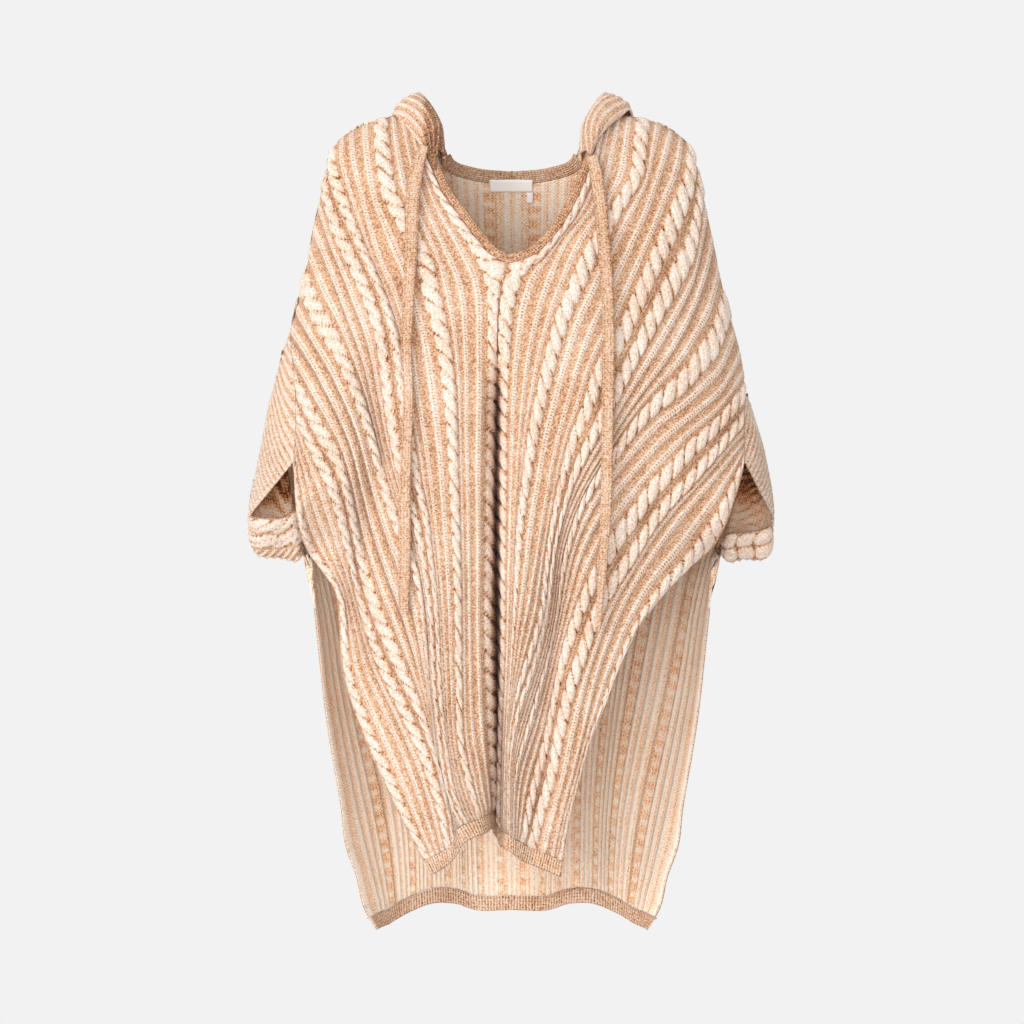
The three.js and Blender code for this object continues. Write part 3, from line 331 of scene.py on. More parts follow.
def wool(name, tone_of, colours=MARL, bump=0.9):
    """A knitted finish. tone_of gives its tone and height from the stitch's own numbers."""
    material = bpy.data.materials.new(name)
    material.use_nodes = True
    tree = material.node_tree
    tree.nodes.clear()
    stitch = add_node(tree, "ShaderNodeAttribute", attribute_name="stitch")[1]
    relief = add_node(tree, "ShaderNodeAttribute", attribute_name="relief")[1]
    across, along, from_rib = list(add_node(tree, "ShaderNodeSeparateXYZ", stitch))[:3]
    # The relief's third value is painted shade, which darkens the tone.
    crest, cable, painted_shade = list(add_node(tree, "ShaderNodeSeparateXYZ", relief))[:3]
    tone, height = tone_of(tree, across, along, from_rib, crest, cable, painted_shade)
    place = add_node(tree, "ShaderNodeTexCoord")["Object"]
    fleck = add_node(tree, "ShaderNodeTexNoise", sockets={
        "Vector": place, "Scale": 1 / (FUZZ * MM), "Detail": 2.0, "Roughness": 0.7})[0]
    blotch = add_node(tree, "ShaderNodeTexNoise", sockets={
        "Vector": place, "Scale": 1 / (BLOTCH * MM), "Detail": 1.0})[0]
    fleck = add_node(tree, "ShaderNodeMapRange", fleck, 0.34, 0.66, 0.0, 1.0)[0]
    tone = weighted(tree, (tone, 1.0), (fleck, 0.52), (blotch, 0.30))
    tone = add_node(tree, MATH, tone, 0.395, operation="SUBTRACT")[0]
    ramp = add_node(tree, "ShaderNodeValToRGB", tone)[0]
    stops = ramp.node.color_ramp.elements
    while len(stops) < len(colours):
        stops.new(0.5)
    for stop, (code, position) in zip(stops, colours):
        stop.position = position
        stop.color = linear(code)
    height = weighted(tree, (height, 0.6), (fleck, 0.8))
    normal = add_node(tree, "ShaderNodeBump", sockets={
        "Strength": bump, "Distance": 0.7 * MM, "Height": height})[0]
    surface = add_node(tree, "ShaderNodeBsdfPrincipled", sockets={
        "Base Color": ramp, "Roughness": 0.92, "Specular IOR Level": 0.2, "Sheen Weight": 0.12,
        "Sheen Roughness": 0.5, "Normal": normal})[0]
    add_node(tree, "ShaderNodeOutputMaterial", surface)
    return material


def right_side_tone(tree, across, along, from_rib, crest, cable, painted_shade):
    """Chains on the ribs, slanted strands on the cables, purl bars between."""
    turned = add_node(tree, MATH, from_rib, -1.1, along, operation="MULTIPLY_ADD")[0]
    chain = wave(tree, turned, STITCH)
    edge = weighted(tree, (crest, 1.0), (chain, 0.10))
    raised = add_node(tree, "ShaderNodeMapRange", edge, 0.12, 0.62, 0.0, 1.0,
                      interpolation_type="SMOOTHSTEP")[0]
    bars = add_node(tree, MATH, wave(tree, along, CROSS_STITCH), 0.45, operation="MULTIPLY")[0]
    side = add_node(tree, MATH, across, math.cos(CABLE_SLANT), operation="MULTIPLY")[0]
    strand = wave(tree, weighted(tree, (along, -math.sin(CABLE_SLANT)), (side, 1.0)), STRAND_LINE)
    beaded = weighted(tree, (chain, 0.35), (1.0, 0.40))
    strand = add_node(tree, MATH, strand, beaded, operation="MULTIPLY")[0]
    knit = blend(tree, cable, blend(tree, raised, bars, chain), strand)
    # Painted shade: small dark holes along the middle of each rib, away from the cables.
    centre = add_node(tree, "ShaderNodeMapRange", from_rib, 0.2, 1.0, 1.0, 0.0)[0]
    holes = add_node(tree, "ShaderNodeMapRange", wave(tree, along, STITCH), 0.0, 0.6, 0.0, 1.0)[0]
    holes = add_node(tree, MATH, holes, centre, operation="MULTIPLY")[0]
    plain = add_node(tree, MATH, 1.0, cable, operation="SUBTRACT")[0]
    holes = add_node(tree, MATH, holes, plain, operation="MULTIPLY")[0]
    tone = weighted(tree, (raised, 0.36), (knit, 0.08), (painted_shade, -0.34), (holes, -0.50))
    tone = add_node(tree, MATH, tone, 0.43, operation="ADD")[0]
    return tone, knit


def wrong_side_tone(tree, across, along, from_rib, crest, cable, painted_shade):
    """Fine purl columns, with small holes and pale floats."""
    bars = wave(tree, along, STITCH)
    fine = wave(tree, across, 3.7)
    knit = add_node(tree, MATH, bars, fine, operation="MULTIPLY")[0]
    tone = weighted(tree, (crest, 0.60), (knit, 0.16), (fine, 0.08), (painted_shade, -0.6))
    # The higher offset is part of the painted bounce light on the wrong side.
    tone = add_node(tree, MATH, tone, 0.48, operation="ADD")[0]
    return tone, knit


RIB_LINE = 3.4                # spacing of the fine 1 x 1 ribs of bands and hems


def fine_rib_tone(tree, across, along, from_rib, crest, cable, painted_shade):
    """Narrow ribs side by side, with the furrow between them in shade."""
    line = wave(tree, across, RIB_LINE)
    chain = wave(tree, along, STITCH)
    tone = weighted(tree, (line, 0.17), (chain, 0.07), (painted_shade, -0.5))
    tone = add_node(tree, MATH, tone, 0.50, operation="ADD")[0]
    return tone, line


def plain_marl_tone(tree, across, along, from_rib, crest, cable, painted_shade):
    """Close plain knit, in which only the marl itself and faint rows show."""
    row = wave(tree, along, CROSS_STITCH)
    line = wave(tree, across, RIB_LINE)
    # The crest term also carries painted light, as on the back neck band.
    tone = weighted(tree, (row, 0.05), (line, 0.06), (crest, 0.20))
    tone = add_node(tree, MATH, tone, 0.36, operation="ADD")[0]
    return tone, row


cable_knit = wool("wool_cable_knit_right_side", right_side_tone)
purl_knit = wool("wool_cable_knit_wrong_side", wrong_side_tone, colours=PURL_MARL_PAINTED_BOUNCE)
fine_rib = wool("wool_fine_rib", fine_rib_tone)
plain_marl = wool("wool_plain_marl", plain_marl_tone)
print("finishes:", [m.name for m in (cable_knit, purl_knit, fine_rib, plain_marl)])

# %% [markdown]
# ## The two ties
# Each tie is a flat knitted strip, 14 mm wide and 3 mm thick, that hangs from a front corner of
# the hood and lies lightly over the chest. It is a limp cord with a free end. The route repeats
# the stops of the part: the middle of the strip, with half its width at each stop.

# %% ties
TIE_THICKNESS = 3.0
TIE_WIDTH = 14.0
TIE_ROUND = 20                # places round the strip
TIE_TIP = 7.0                 # length over which the free end rounds off
TIE_RIGHT = [
    ((92, -56.5, -32), 6), ((97, -64, -58), 7), ((101, -75, -90), 7.5), ((105, -87, -138), 7.5),
    ((109, -96, -196), 7), ((110, -106, -253), 7), ((109, -116, -310), 7), ((108, -123, -368), 6.5),
    ((107, -124, -426), 6.5), ((104, -120, -480), 5.5), ((101, -116, -529), 4.5),
    ((97, -113, -577), 3),
]
TIE_LEFT = [
    ((-101, -55, -20), 6), ((-109, -62, -50), 7.5), ((-114, -75, -90), 8), ((-115, -85, -138), 7.5),
    ((-118, -95, -196), 6.5), ((-120, -104, -253), 6), ((-118, -110, -311), 5.5),
    ((-120, -114, -368), 6), ((-122, -115, -426), 7), ((-122, -114, -480), 7),
    ((-123, -112, -530), 6.5), ((-123, -110, -556), 5),
]


def knitted_tie(name, stops, node):
    middle, run = guide_line([stop[0] for stop in stops])
    stop_at = np.linspace(0, len(middle) - 1, len(stops))
    half = np.interp(np.arange(len(middle)), stop_at, [stop[1] for stop in stops])
    tip = np.clip((run[-1] - run) / TIE_TIP, 0.02, 1)
    half = half * np.sqrt(tip * (2 - tip))
    tangent = unit(np.gradient(middle, axis=0))
    wide = unit(np.array([1.0, 0, 0]) - tangent * tangent[:, :1])
    thick = np.cross(tangent, wide)
    angle = np.linspace(0, 2 * math.pi, TIE_ROUND + 1)
    flat = np.sign(np.cos(angle)) * np.abs(np.cos(angle)) ** 0.7
    deep = np.sign(np.sin(angle)) * np.abs(np.sin(angle)) ** 0.7
    thickness = TIE_THICKNESS / 2 * np.sqrt(tip)
    rings = (middle[None] + flat[:, None, None] * (half[:, None] * wide)[None]
             + deep[:, None, None] * (thickness[:, None] * thick)[None])
    stitch = np.stack([flat[:, None] * half[None], np.repeat(run[None], len(angle), axis=0),
                       np.abs(np.abs(flat[:, None] * half[None]) - 3.0)], axis=-1)
    raised = np.zeros_like(stitch)
    raised[..., 0] = np.cos(math.pi * flat[:, None] * half[None] / TIE_WIDTH)
    bm = bmesh.new()
    layers = [bm.verts.layers.float_vector.new(layer) for layer in ("stitch", "relief")]
    cloth_grid(bm, layers, rings, stitch, raised, 0)
    bmesh.ops.remove_doubles(bm, verts=bm.verts, dist=0.01 * MM)
    bmesh.ops.holes_fill(bm, edges=[edge for edge in bm.edges if edge.is_boundary])
    bmesh.ops.recalc_face_normals(bm, faces=bm.faces)
    mesh = bpy.data.meshes.new(name)
    bm.to_mesh(mesh)
    bm.free()
    mesh.materials.append(plain_marl)
    tie = bpy.data.objects.new(name, mesh)
    bpy.context.collection.objects.link(tie)
    print(name, round(run[-1]), "mm long")
    return on_sweater(tie, "rib_knit", node)


knitted_tie("right_tie_knit", TIE_RIGHT, "tie_right")
knitted_tie("left_tie_knit", TIE_LEFT, "tie_left")

# %% [markdown]
# ## How the cloth lies
# Seen from the front, each panel is described by guide lines that follow the knit's own columns
# from the shoulder to the hem. The key of each line is its distance over the cloth from the
# front edge or the middle. The depth behind that view is a full, rounded body that thins out
# towards the side outline, with the few deep folds pressed into it.

# %% measured lines, in millimetres: sideways and up
DEPTH_HEIGHTS = [20, -100, -250, -450, -650, -850, -940]
DEPTHS = {"front": [58, 76, 98, 112, 108, 98, 94], "back": [62, 82, 100, 108, 106, 102, 100]}
ROUNDING = 200
EDGE_ROLL = 0.6               # width along the outline over which the cloth stays in its plane
FOLD_START = 40
OUTLINE = [
    (0, 18), (100, 18), (147, 14), (170, 6), (193, -7), (205, -20), (212, -35), (216, -60),
    (228, -109), (238, -165), (246, -200), (254, -228), (262, -255), (268, -288), (277, -328),
    (286, -360), (296, -403), (302, -445), (299, -470), (291, -489), (268, -493), (234, -491),
    (229, -540), (223, -598), (215, -670), (207, -722), (197, -780), (192, -822), (179, -860),
    (171, -894), (156, -920),
]
NECK_EDGE = [(100, 4), (93, -34), (83, -62), (71, -88), (58, -111), (43, -130), (24, -147), (-5, -156)]
NECK_EDGE_LEFT = [(-106, 4), (-99, -28), (-87, -58), (-76, -80), (-62, -98), (-50, -115),
    (-37, -131), (-24, -146), (-5, -156)]
MIDDLE = [(-5, -156), (-14, -196), (-17, -253), (-18, -368), (-18, -495), (-17, -598),
    (-17, -713), (-18, -811)]
FRONT_FOLDS = [
    {"line": [(-16, -240), (-18, -368), (-18, -495), (-17, -598), (-17, -713), (-18, -840)],
      "half_width": 9, "depth": 52, "fade": 90},
    {"line": [(-170, -240), (-158, -311), (-147, -368), (-158, -430), (-168, -495), (-172, -541),
      (-158, -600)],
      "half_width": 26, "depth": 22, "fade": 90},
    {"line": [(60, -470), (44, -580), (38, -656), (30, -750), (22, -870)],
      "half_width": 22, "depth": 20, "fade": 90},
    {"line": [(-80, -400), (-75, -560), (-72, -700), (-66, -860)],
      "half_width": 34, "depth": -15, "fade": 120},
    {"line": [(120, -250), (90, -380), (85, -470)], "half_width": 40, "depth": -8, "fade": 90},
    {"line": [(20, -400), (14, -560), (8, -640)], "half_width": 20, "depth": -8, "fade": 90},
]
BACK_FOLDS = [
    {"line": [(-110, -420), (-100, -600), (-96, -940)], "half_width": 30, "depth": 12, "fade": 160},
    {"line": [(96, -400), (90, -620), (84, -940)], "half_width": 30, "depth": 12, "fade": 160},
    {"line": [(0, -300), (4, -600), (0, -940)], "half_width": 45, "depth": 9, "fade": 160},
]
FRONT_RIGHT = {
    7: [(104, 5), (88, -62), (64, -111), (32, -149), (10, -164), (0, -182), (-6, -207),
      (-8, -253), (-9, -368), (-9, -495), (-9, -598), (-12, -713), (-14, -821)],
    30: [(122, 16), (112, -35), (95, -86), (61, -132), (38, -184), (21, -247), (10, -334),
      (4, -426), (0, -518), (-3, -610), (-8, -713), (-11, -822)],
    54: [(150, 13), (147, -20), (143, -55), (124, -86), (90, -144), (74, -178), (59, -213),
      (46, -255), (35, -299), (24, -345), (17, -391), (9, -443), (5, -506), (1, -575), (-3, -640),
      (-7, -713), (-9, -823)],
    77: [(182, 0), (176, -23), (152, -95), (118, -170), (83, -247), (64, -310), (49, -368),
      (35, -445), (21, -529), (8, -598), (0, -655), (-5, -735), (-7, -824)],
    101: [(205, -20), (203, -58), (187, -98), (149, -184), (129, -230), (98, -282), (84, -324),
      (69, -357), (58, -397), (47, -449), (39, -500), (33, -552), (24, -587), (12, -624), (2, -660),
      (-3, -700), (-5, -825)],
    119: [(216, -60), (205, -138), (187, -173), (168, -207), (147, -247), (130, -282),
      (98, -345), (84, -372), (72, -397), (60, -436), (50, -475), (43, -515), (37, -556), (29, -594),
      (18, -632), (6, -672), (-1, -720), (-3, -826)],
    142: [(230, -122), (220, -165), (203, -212), (178, -258), (149, -299), (122, -338),
      (104, -370), (86, -400), (71, -430), (58, -466), (51, -503), (46, -550), (36, -597), (24, -638),
      (11, -680), (2, -725), (-1, -827)],
    166: [(246, -200), (230, -247), (216, -265), (193, -293), (164, -316), (139, -342),
      (116, -374), (94, -405), (78, -435), (66, -470), (58, -505), (53, -548), (43, -598), (30, -642),
      (18, -685), (5, -735), (1, -829)],
    189: [(262, -255), (240, -296), (208, -325), (176, -351), (145, -384), (116, -418),
      (92, -455), (76, -492), (66, -529), (54, -580), (41, -633), (30, -675), (10, -742), (4, -831)],
    213: [(267, -300), (232, -341), (205, -365), (182, -391), (159, -414), (141, -440),
      (118, -470), (98, -506), (85, -532), (75, -556), (60, -602), (48, -656), (38, -706), (22, -762),
      (8, -834)],
    231: [(266, -331), (235, -369), (205, -403), (184, -424), (161, -452), (141, -484),
      (118, -518), (99, -550), (81, -600), (67, -640), (55, -688), (46, -738), (31, -788), (17, -840)],
    254: [(266, -357), (228, -402), (190, -446), (158, -489), (127, -541), (107, -590),
      (93, -633), (80, -690), (69, -736), (56, -785), (42, -850)],
    278: [(266, -376), (251, -416), (234, -452), (206, -492), (172, -528), (142, -572),
      (122, -614), (106, -656), (87, -704), (75, -748), (62, -796), (51, -854)],
    287: [(266, -382), (261, -405), (253, -430), (243, -457), (228, -484), (205, -501),
      (176, -531), (153, -557), (138, -580), (126, -602), (114, -630), (104, -660), (87, -710),
      (74, -755), (63, -805), (56, -855)],
}
FRONT_LEFT = {
    7: [(-110, 5), (-91, -60), (-66, -104), (-38, -142), (-26, -164), (-21, -196),
      (-22, -265), (-24, -345), (-26, -420), (-27, -500), (-28, -560), (-26, -640), (-24, -700),
      (-22, -760), (-21, -801)],
    30: [(-126, 16), (-114, -40), (-100, -86), (-77, -136), (-58, -184), (-52, -260),
      (-51, -368), (-49, -455), (-48, -541), (-47, -620), (-44, -690), (-35, -745), (-26, -803)],
    54: [(-150, 13), (-149, -15), (-146, -40), (-140, -75), (-120, -110), (-99, -152),
      (-91, -190), (-77, -247), (-69, -311), (-64, -426), (-61, -541), (-60, -633), (-58, -702),
      (-47, -753), (-31, -806)],
    77: [(-184, -1), (-181, -35), (-168, -90), (-150, -150), (-133, -190), (-116, -245),
      (-106, -311), (-95, -380), (-86, -460), (-79, -540), (-75, -620), (-70, -700), (-57, -760),
      (-37, -808)],
    101: [(-205, -20), (-206, -45), (-192, -86), (-175, -127), (-152, -178), (-133, -236),
      (-125, -288), (-118, -340), (-106, -408), (-96, -449), (-92, -485), (-85, -551), (-80, -656),
      (-64, -765), (-43, -810)],
    119: [(-216, -60), (-204, -109), (-183, -152), (-166, -190), (-152, -232),
      (-144, -288), (-136, -345), (-127, -390), (-114, -435), (-103, -480), (-92, -560), (-87, -656),
      (-70, -768), (-48, -812)],
    142: [(-228, -109), (-205, -165), (-187, -213), (-170, -260), (-156, -320),
      (-145, -370), (-132, -415), (-118, -455), (-107, -505), (-98, -565), (-92, -656), (-75, -770),
      (-52, -815)],
    166: [(-240, -172), (-221, -216), (-199, -251), (-179, -297), (-163, -345),
      (-148, -397), (-134, -440), (-117, -482), (-104, -520), (-97, -580), (-89, -670), (-75, -770),
      (-56, -818)],
    189: [(-254, -226), (-228, -266), (-202, -315), (-182, -362), (-170, -410),
      (-158, -455), (-143, -500), (-126, -545), (-112, -592), (-96, -660), (-78, -745), (-60, -824)],
    213: [(-249, -288), (-224, -337), (-198, -382), (-186, -426), (-173, -490),
      (-154, -550), (-130, -607), (-103, -667), (-86, -716), (-74, -764), (-64, -832)],
    231: [(-247, -325), (-226, -368), (-207, -405), (-196, -440), (-186, -485),
      (-171, -550), (-149, -612), (-119, -673), (-96, -726), (-80, -780), (-70, -839)],
    254: [(-248, -352), (-235, -396), (-222, -440), (-206, -485), (-190, -525),
      (-180, -562), (-165, -620), (-140, -676), (-119, -724), (-101, -775), (-79, -846)],
    278: [(-249, -376), (-244, -420), (-239, -455), (-226, -487), (-207, -513),
      (-194, -542), (-190, -590), (-185, -630), (-170, -674), (-147, -728), (-121, -785), (-87, -851)],
    287: [(-249, -382), (-248, -420), (-244, -455), (-235, -484), (-219, -506),
      (-203, -530), (-198, -564), (-196, -606), (-188, -645), (-175, -682), (-154, -732), (-126, -790),
      (-93, -853)],
}
BACK_GUIDES = {
    0: [(0, -60), (0, -300), (0, -600), (0, -901)],
    40: [(46, -55), (43, -150), (34, -350), (26, -600), (22, -902)],
    75: [(80, -40), (74, -140), (60, -350), (48, -600), (38, -902)],
    95: [(100, 4), (92, -120), (76, -330), (60, -590), (50, -899)],
    140: [(150, 13), (138, -60), (110, -230), (86, -450), (68, -690), (64, -894)],
    180: [(193, -7), (178, -100), (142, -280), (112, -490), (88, -730), (84, -892)],
    215: [(216, -60), (196, -160), (160, -320), (130, -520), (102, -760), (98, -894)],
    250: [(240, -172), (218, -260), (178, -410), (146, -580), (116, -780), (111, -899)],
    280: [(262, -255), (236, -340), (196, -480), (164, -640), (132, -800), (124, -905)],
    300: [(267, -300), (248, -374), (212, -500), (184, -640), (150, -800), (135, -911)],
    322: [(266, -382), (240, -450), (215, -545), (199, -650), (168, -800), (144, -916)],
    335: [(254, -434), (232, -500), (220, -560), (209, -645), (182, -790), (150, -918)],
    345: [(236, -487), (231, -520), (229, -540), (223, -598), (215, -670), (207, -722),
      (197, -780), (192, -822), (179, -860), (171, -894), (156, -920)],
}

# %% where a place of the cloth lies
WALL = 3.0
V_POINT = 0.22
FRONT_WIDTH = 287
BACK_WIDTH = 345
BACK_NECK = 95
FRONT_HEM = 18
BACK_HEM = 17
LINKED = 0.4                  # gap between a panel and the band that is linked to it


def from_line(x, z, line):
    """Distance from places to a chain of stops, with how far along the chain the nearest lies."""
    best = np.full(x.shape, np.inf)
    along = np.zeros(x.shape)
    run = 0.0
    for (ax, az), (bx, bz) in zip(line, line[1:]):
        length = math.hypot(bx - ax, bz - az)
        share = np.clip(((x - ax) * (bx - ax) + (z - az) * (bz - az)) / length ** 2, 0, 1)
        distance = np.hypot(x - ax - share * (bx - ax), z - az - share * (bz - az))
        nearer = distance < best
        best = np.where(nearer, distance, best)
        along = np.where(nearer, run + share * length, along)
        run += length
    return best, along, run


def depth_at(x, z, side):
    """Distance in front of or behind the plane of the side outline."""
    inward = from_line(np.abs(x), z, OUTLINE)[0]
    share = np.clip((inward - EDGE_ROLL) / ROUNDING, 0, 1)
    body = np.interp(-z, [-height for height in DEPTH_HEIGHTS], DEPTHS[side])
    pressed = np.zeros(x.shape)
    for fold in FRONT_FOLDS if side == "front" else BACK_FOLDS:
        distance, along, length = from_line(x, z, fold["line"])
        fade = fold["fade"]
        ends = smooth(along / fade) * smooth((length - along) / (0.4 * fade) + 0.3)
        pressed += fold["depth"] * ends * np.exp(-(distance / fold["half_width"]) ** 2)
    depth = body * np.sqrt(share * (2 - share)) - pressed * smooth(inward / FOLD_START)
    return np.maximum(depth, HALF_SEAM)


class Panel:
    """One half of a panel: place gives where a distance across and a share of the way down lie."""

    def __init__(self, guides, side, hem, outline, mirror=1, neck=None):
        self.across = np.array(([0] if neck else []) + list(guides))
        self.lines = [guide_line(line) for line in guides.values()]
        self.side = side
        self.hem = hem
        self.outline = outline
        self.mirror = mirror
        self.neck = [guide_line(neck), guide_line(MIDDLE)] if neck else None

    def guide_rows(self, down, in_hem):
        rows = []
        for points, run in self.lines:
            body = run[-1] - self.hem - LINKED
            at = run[-1] - self.hem * (1 - down) if in_hem else body * down
            rows.append([np.interp(at, run, points[:, k]) for k in (0, 1)])
        if self.neck:
            (neck, neck_run), (middle, middle_run) = self.neck
            length = middle_run[-1]
            share = np.clip((down - V_POINT) / (1 - V_POINT), 0, 1)
            at = length - self.hem * (1 - down) if in_hem else share * (length - self.hem - LINKED)
            on_neck = [np.interp(down / V_POINT * neck_run[-1], neck_run, neck[:, k]) for k in (0, 1)]
            in_middle = [np.interp(at, middle_run, middle[:, k]) for k in (0, 1)]
            beside = (down < V_POINT) & (not in_hem)
            rows.insert(0, [np.where(beside, n, m) for n, m in zip(on_neck, in_middle)])
        return np.array(rows).transpose(0, 2, 1)

    def place(self, across, down, in_hem=False):
        across, down = np.atleast_1d(across).astype(float), np.atleast_1d(down).astype(float)
        share = np.interp(across, self.across, np.linspace(0, 1, len(self.across)))
        flat = through(self.guide_rows(down, in_hem), share)
        x = self.mirror * flat[..., 0]
        z = flat[..., 1]
        depth = depth_at(x, z, self.side)
        low, high = self.outline
        edge = ((across >= low) & (across <= high))[:, None] & (down == 0)[None] & (not in_hem)
        depth = np.where(edge, HALF_SEAM, depth)
        return np.stack([x, (-1 if self.side == "front" else 1) * depth, z], axis=-1)


SLEEVE_SEAMS = {"right": ((213, FRONT_WIDTH), (300, BACK_WIDTH)),
                "left": ((189, FRONT_WIDTH), (280, BACK_WIDTH))}
front_right = Panel(FRONT_RIGHT, "front", FRONT_HEM, (0, SLEEVE_SEAMS["right"][0][0]), neck=NECK_EDGE)
front_left = Panel(FRONT_LEFT, "front", FRONT_HEM, (0, SLEEVE_SEAMS["left"][0][0]), neck=NECK_EDGE_LEFT)
back_right = Panel(BACK_GUIDES, "back", BACK_HEM, (BACK_NECK, SLEEVE_SEAMS["right"][1][0]))
back_left = Panel(BACK_GUIDES, "back", BACK_HEM, (BACK_NECK, SLEEVE_SEAMS["left"][1][0]), mirror=-1)
print("front, 200 mm out and half way down:", front_right.place(200, 0.5).round(1).tolist())

# %% [markdown]
# ## The stitch pattern
# The front repeats a cable and three raised ribs, and a pair of cables lies side by side after
# each second repeat. The grid's columns follow the pattern: each rib has one on its crest, two on
# its flanks and one in each furrow, so the narrow ridges stay crisp with few faces. A cable's
# strands are long slanted tongues, one after the other, with a deep groove between them.

# %% columns of the pattern
RIB_PITCH = 11.0
RIB_STEPS = (0.0, 3.0, 4.3, 5.5, 6.7, 8.0)
FEW_RIB_STEPS = (0.0, 3.4, 5.5, 7.6)
RIB_SIGMA = 2.1
RIB_HEIGHT = 2.4
CABLE_WIDTH = 14.0
CABLE_STEPS = 8
FEW_CABLE_STEPS = 6
CABLE_HEIGHT = 5.4
CABLE_GAP = 4.0
TONGUE = 21.0                 # distance from one tongue of a cable to the next
TONGUE_LEAN = 0.55            # share of that distance by which a tongue leans over half its width
EDGE_RAMP = 12.0              # length over which the stitches flatten towards an edge
THREE_RIBS = ["rib"] * 3
FRONT_PATTERN = (["cable"] + THREE_RIBS + ["cable"] + THREE_RIBS + ["cable", "gap"]) * 2
FRONT_PATTERN += ["cable"] + THREE_RIBS + ["cable"]
BACK_PATTERN = ["rib"] + (["cable"] + THREE_RIBS) * 7


def pattern_columns(pattern, start, end, rib_steps=RIB_STEPS, cable_steps=CABLE_STEPS):
    """Rows of: distance across, centre of its rib or cable, and 1 in a cable or 0 beside one."""
    columns = []
    at = start
    for stitch in pattern:
        if stitch == "rib":
            columns += [(at + step, at + RIB_PITCH / 2, 0) for step in rib_steps]
            at += RIB_PITCH
        elif stitch == "cable":
            columns += [(at + CABLE_WIDTH * k / cable_steps, at + CABLE_WIDTH / 2, 1)
                        for k in range(cable_steps)]
            at += CABLE_WIDTH
        else:
            columns += [(at, at - RIB_PITCH / 2, 0), (at + CABLE_GAP / 2, at - RIB_PITCH / 2, 0)]
            at += CABLE_GAP
    columns.append((at, at - RIB_PITCH / 2, 0))
    columns = np.array(columns, float)
    if end > at:
        columns = np.concatenate([columns, [(end, at - RIB_PITCH / 2, 0)]])
    else:
        columns[:, :2] *= end / at
    return columns


def edge_ramp(run):
    """0 at both ends of a run, 1 further in."""
    return smooth(np.minimum(run, run[:, -1:] - run) / EDGE_RAMP)


def spread_of(points, across):
    """How much of its full width the cloth keeps: less where it is drawn together."""
    count = np.arange(len(across))
    after, before = np.minimum(count + 4, count[-1]), np.maximum(count - 4, 0)
    wide = np.linalg.norm(points[after] - points[before], axis=-1)
    return np.clip(wide / (across[after] - across[before])[:, None], 0.1, 1)


def rope_of(turns, x):
    """Height of a cable, 0 to 1, and the painted shade of its grooves: lens-shaped tongues, one after the
    other.
    """
    width = np.sqrt(np.clip(1.06 - 0.6 * x ** 2, 0.05, 1))
    tongue = np.clip(1 - np.abs((2 * (turns - np.floor(turns)) - 1) / width) ** 4, 0, 1)
    envelope = np.clip(1 - np.abs(x) ** 4, 0, 1)
    return envelope * (0.25 + 0.75 * tongue), envelope * np.clip(1 - 2.1 * tongue, 0, 1)


def along_wales(points, across, centre):
    """Distance run at each place, measured along its own rib or cable."""
    run = run_along(points, 1)
    nearest = np.array([np.argmin(np.abs(across - c)) for c in centre])
    tangent = unit(np.gradient(points, axis=1))[nearest]
    return run[nearest] + np.sum((points - points[nearest]) * tangent, axis=-1)


def right_side(points, columns, turn):
    """Height of the stitches over the cloth, and what the wool needs to know about them."""
    across, centre, cable = columns.T
    run = run_along(points, 1)
    along = along_wales(points, across, centre)
    x = ((across - centre) / (CABLE_WIDTH / 2))[:, None] * np.ones_like(run)
    turns = along / TONGUE - turn * TONGUE_LEAN * x
    rope, gap = rope_of(turns, x)
    ridge = np.exp(-((across - centre) / RIB_SIGMA) ** 2)[:, None] * np.ones_like(run)
    in_cable = cable[:, None] * np.ones_like(run)
    height = np.where(in_cable > 0, CABLE_HEIGHT * rope, RIB_HEIGHT * ridge)
    to_side = smooth((np.max(np.abs(across)) - np.abs(across)) / EDGE_RAMP)[:, None]
    height = height * spread_of(points, across) * edge_ramp(run) * (0.1 + 0.9 * to_side)
    crest = np.where(in_cable > 0, 0.75 * smooth(rope * 1.3), ridge)
    # Painted shade in the grooves between a cable's tongues.
    painted_shade = np.where(in_cable > 0, gap, 0)
    stitch = np.stack([turn * across[:, None] * np.ones_like(run), along,
                       np.abs(across - centre)[:, None] * np.ones_like(run)], axis=-1)
    return height, stitch, np.stack([crest, in_cable, painted_shade], axis=-1)


def plain_side(points, columns, turn):
    """The wrong side where it is out of sight: the same numbers, with no relief."""
    across = columns[:, 0]
    run = run_along(points, 1)
    stitch = np.stack([turn * across[:, None] * np.ones_like(run), run, np.zeros_like(run)], axis=-1)
    relief = np.zeros_like(stitch)
    relief[..., 0] = 0.5 + 0.5 * np.cos(2 * math.pi * across / RIB_PITCH)[:, None]
    return stitch, relief


front_columns = pattern_columns(FRONT_PATTERN, 0.0, FRONT_WIDTH)
print(len(front_columns), "columns on half the front")

# %% [markdown]
# ## Front panel
# Both halves are knitted into one panel. They share the middle column below the point of the V
# and part above it, so two grids are made and welded along that column. The inner side is out
# of sight and has far fewer places.

# %% front panel
TOP_ROWS = [0, 0.002, 0.004, 0.007, 0.011, 0.015, 0.02]
FRONT_ROWS = 250
COARSE = 6
CLEFT_WIDTH = 10.0            # half the width of the shaded fold down the middle
CLEFT_TOP = -230.0

front_down = np.array(TOP_ROWS + list(np.linspace(0.024, 1, FRONT_ROWS)))
front_down[np.argmin(np.abs(front_down - V_POINT))] = V_POINT
v_row = int(np.argmin(np.abs(front_down - V_POINT)))
front_coarse = np.unique(list(range(0, len(front_down), COARSE)) + [v_row, len(front_down) - 1])


def square_to_outline(points, normals):
    """At the outline the cloth faces straight sideways, so front and back meet edge to edge."""
    flat = np.abs(points[:, 0, 1]) < SEAM
    normals[flat, 0, 1] = 0
    normals[:, 0] = unit(normals[:, 0])


